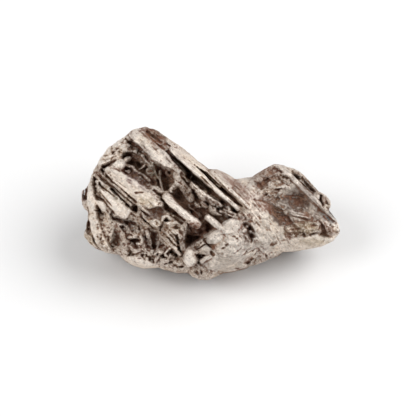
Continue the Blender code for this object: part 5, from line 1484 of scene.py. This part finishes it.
def make_lump():
    """Skin and feet, evened out on a fine grid, then roughened, thinned, painted and laid down."""
    shells = [carved_skin(), *feet()]
    starts = np.cumsum([0] + [len(points) for points, _ in shells[:-1]])
    points = np.concatenate([points for points, _ in shells])
    faces = np.concatenate([faces + start for (_, faces), start in zip(shells, starts)])
    lump = bpy.data.objects.new("iron_lump", mesh_of("iron_lump", points, faces))
    bpy.context.scene.collection.objects.link(lump)
    apply_modifier(lump, "REMESH", mode="VOXEL", voxel_size=FINE_GRID, adaptivity=0.0)
    roughen(lump.data)
    thin_out(lump)
    drop_crumbs(lump)
    paint(lump.data)
    points, _, _ = read(lump.data)
    laid = within_box(to_world(points))
    lump.data.vertices.foreach_set("co", laid.astype(np.float32).ravel())
    lump.data.update()
    lump.data.polygons.foreach_set("use_smooth", np.ones(len(lump.data.polygons), dtype=bool))
    lump.data.set_sharp_from_angle(angle=math.radians(SHARP_DEG))
    lump.data.materials.append(iron_material())
    return lump


def add_floor():
    """One broad level sheet."""
    mesh = bpy.data.meshes.new("floor")
    corners = [(x * FLOOR_REACH, y * FLOOR_REACH, 0.0) for x, y in [(-1, -1), (1, -1), (1, 1), (-1, 1)]]
    mesh.from_pydata(corners, [], [(0, 1, 2, 3)])
    mesh.materials.append(floor_material())
    floor = bpy.data.objects.new("floor", mesh)
    bpy.context.scene.collection.objects.link(floor)


def add_lights():
    """A white room, a broad soft lamp high up on the lump's right, and a weaker one on its left."""
    world = bpy.data.worlds.new("studio")
    world.use_nodes = True
    background = world.node_tree.nodes["Background"]
    background.inputs["Color"].default_value = (1.0, 1.0, 1.0, 1.0)
    background.inputs["Strength"].default_value = ROOM_LIGHT
    bpy.context.scene.world = world
    for name, place, size, power in LAMPS:
        light = bpy.data.lights.new(name, "AREA")
        light.shape, light.size, light.energy = "DISK", size, power
        lamp = bpy.data.objects.new(name, light)
        lamp.location = place
        lamp.rotation_euler = (-Vector(place)).to_track_quat("-Z", "Y").to_euler()
        bpy.context.scene.collection.objects.link(lamp)


def add_camera():
    """A long lens square to the open face."""
    camera = bpy.data.cameras.new("camera")
    camera.lens, camera.sensor_width = LENS, SENSOR
    camera.clip_start, camera.clip_end = NEAR, FAR
    eye = bpy.data.objects.new("camera", camera)
    target = Vector(to_world(np.array([AIM]))[0])
    away = Vector(face_turn() @ [0.0, 0.0, 1.0])
    eye.location = target + away * (LENS / SENSOR * VIEW_WIDTH * MM)
    eye.rotation_euler = away.to_track_quat("Z", "Y").to_euler()
    bpy.context.scene.collection.objects.link(eye)
    bpy.context.scene.camera = eye


lump = make_lump()
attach(lump, "root")
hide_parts("meteorite")
add_floor()
add_lights()
add_camera()
bpy.context.scene.view_settings.view_transform = "Standard"
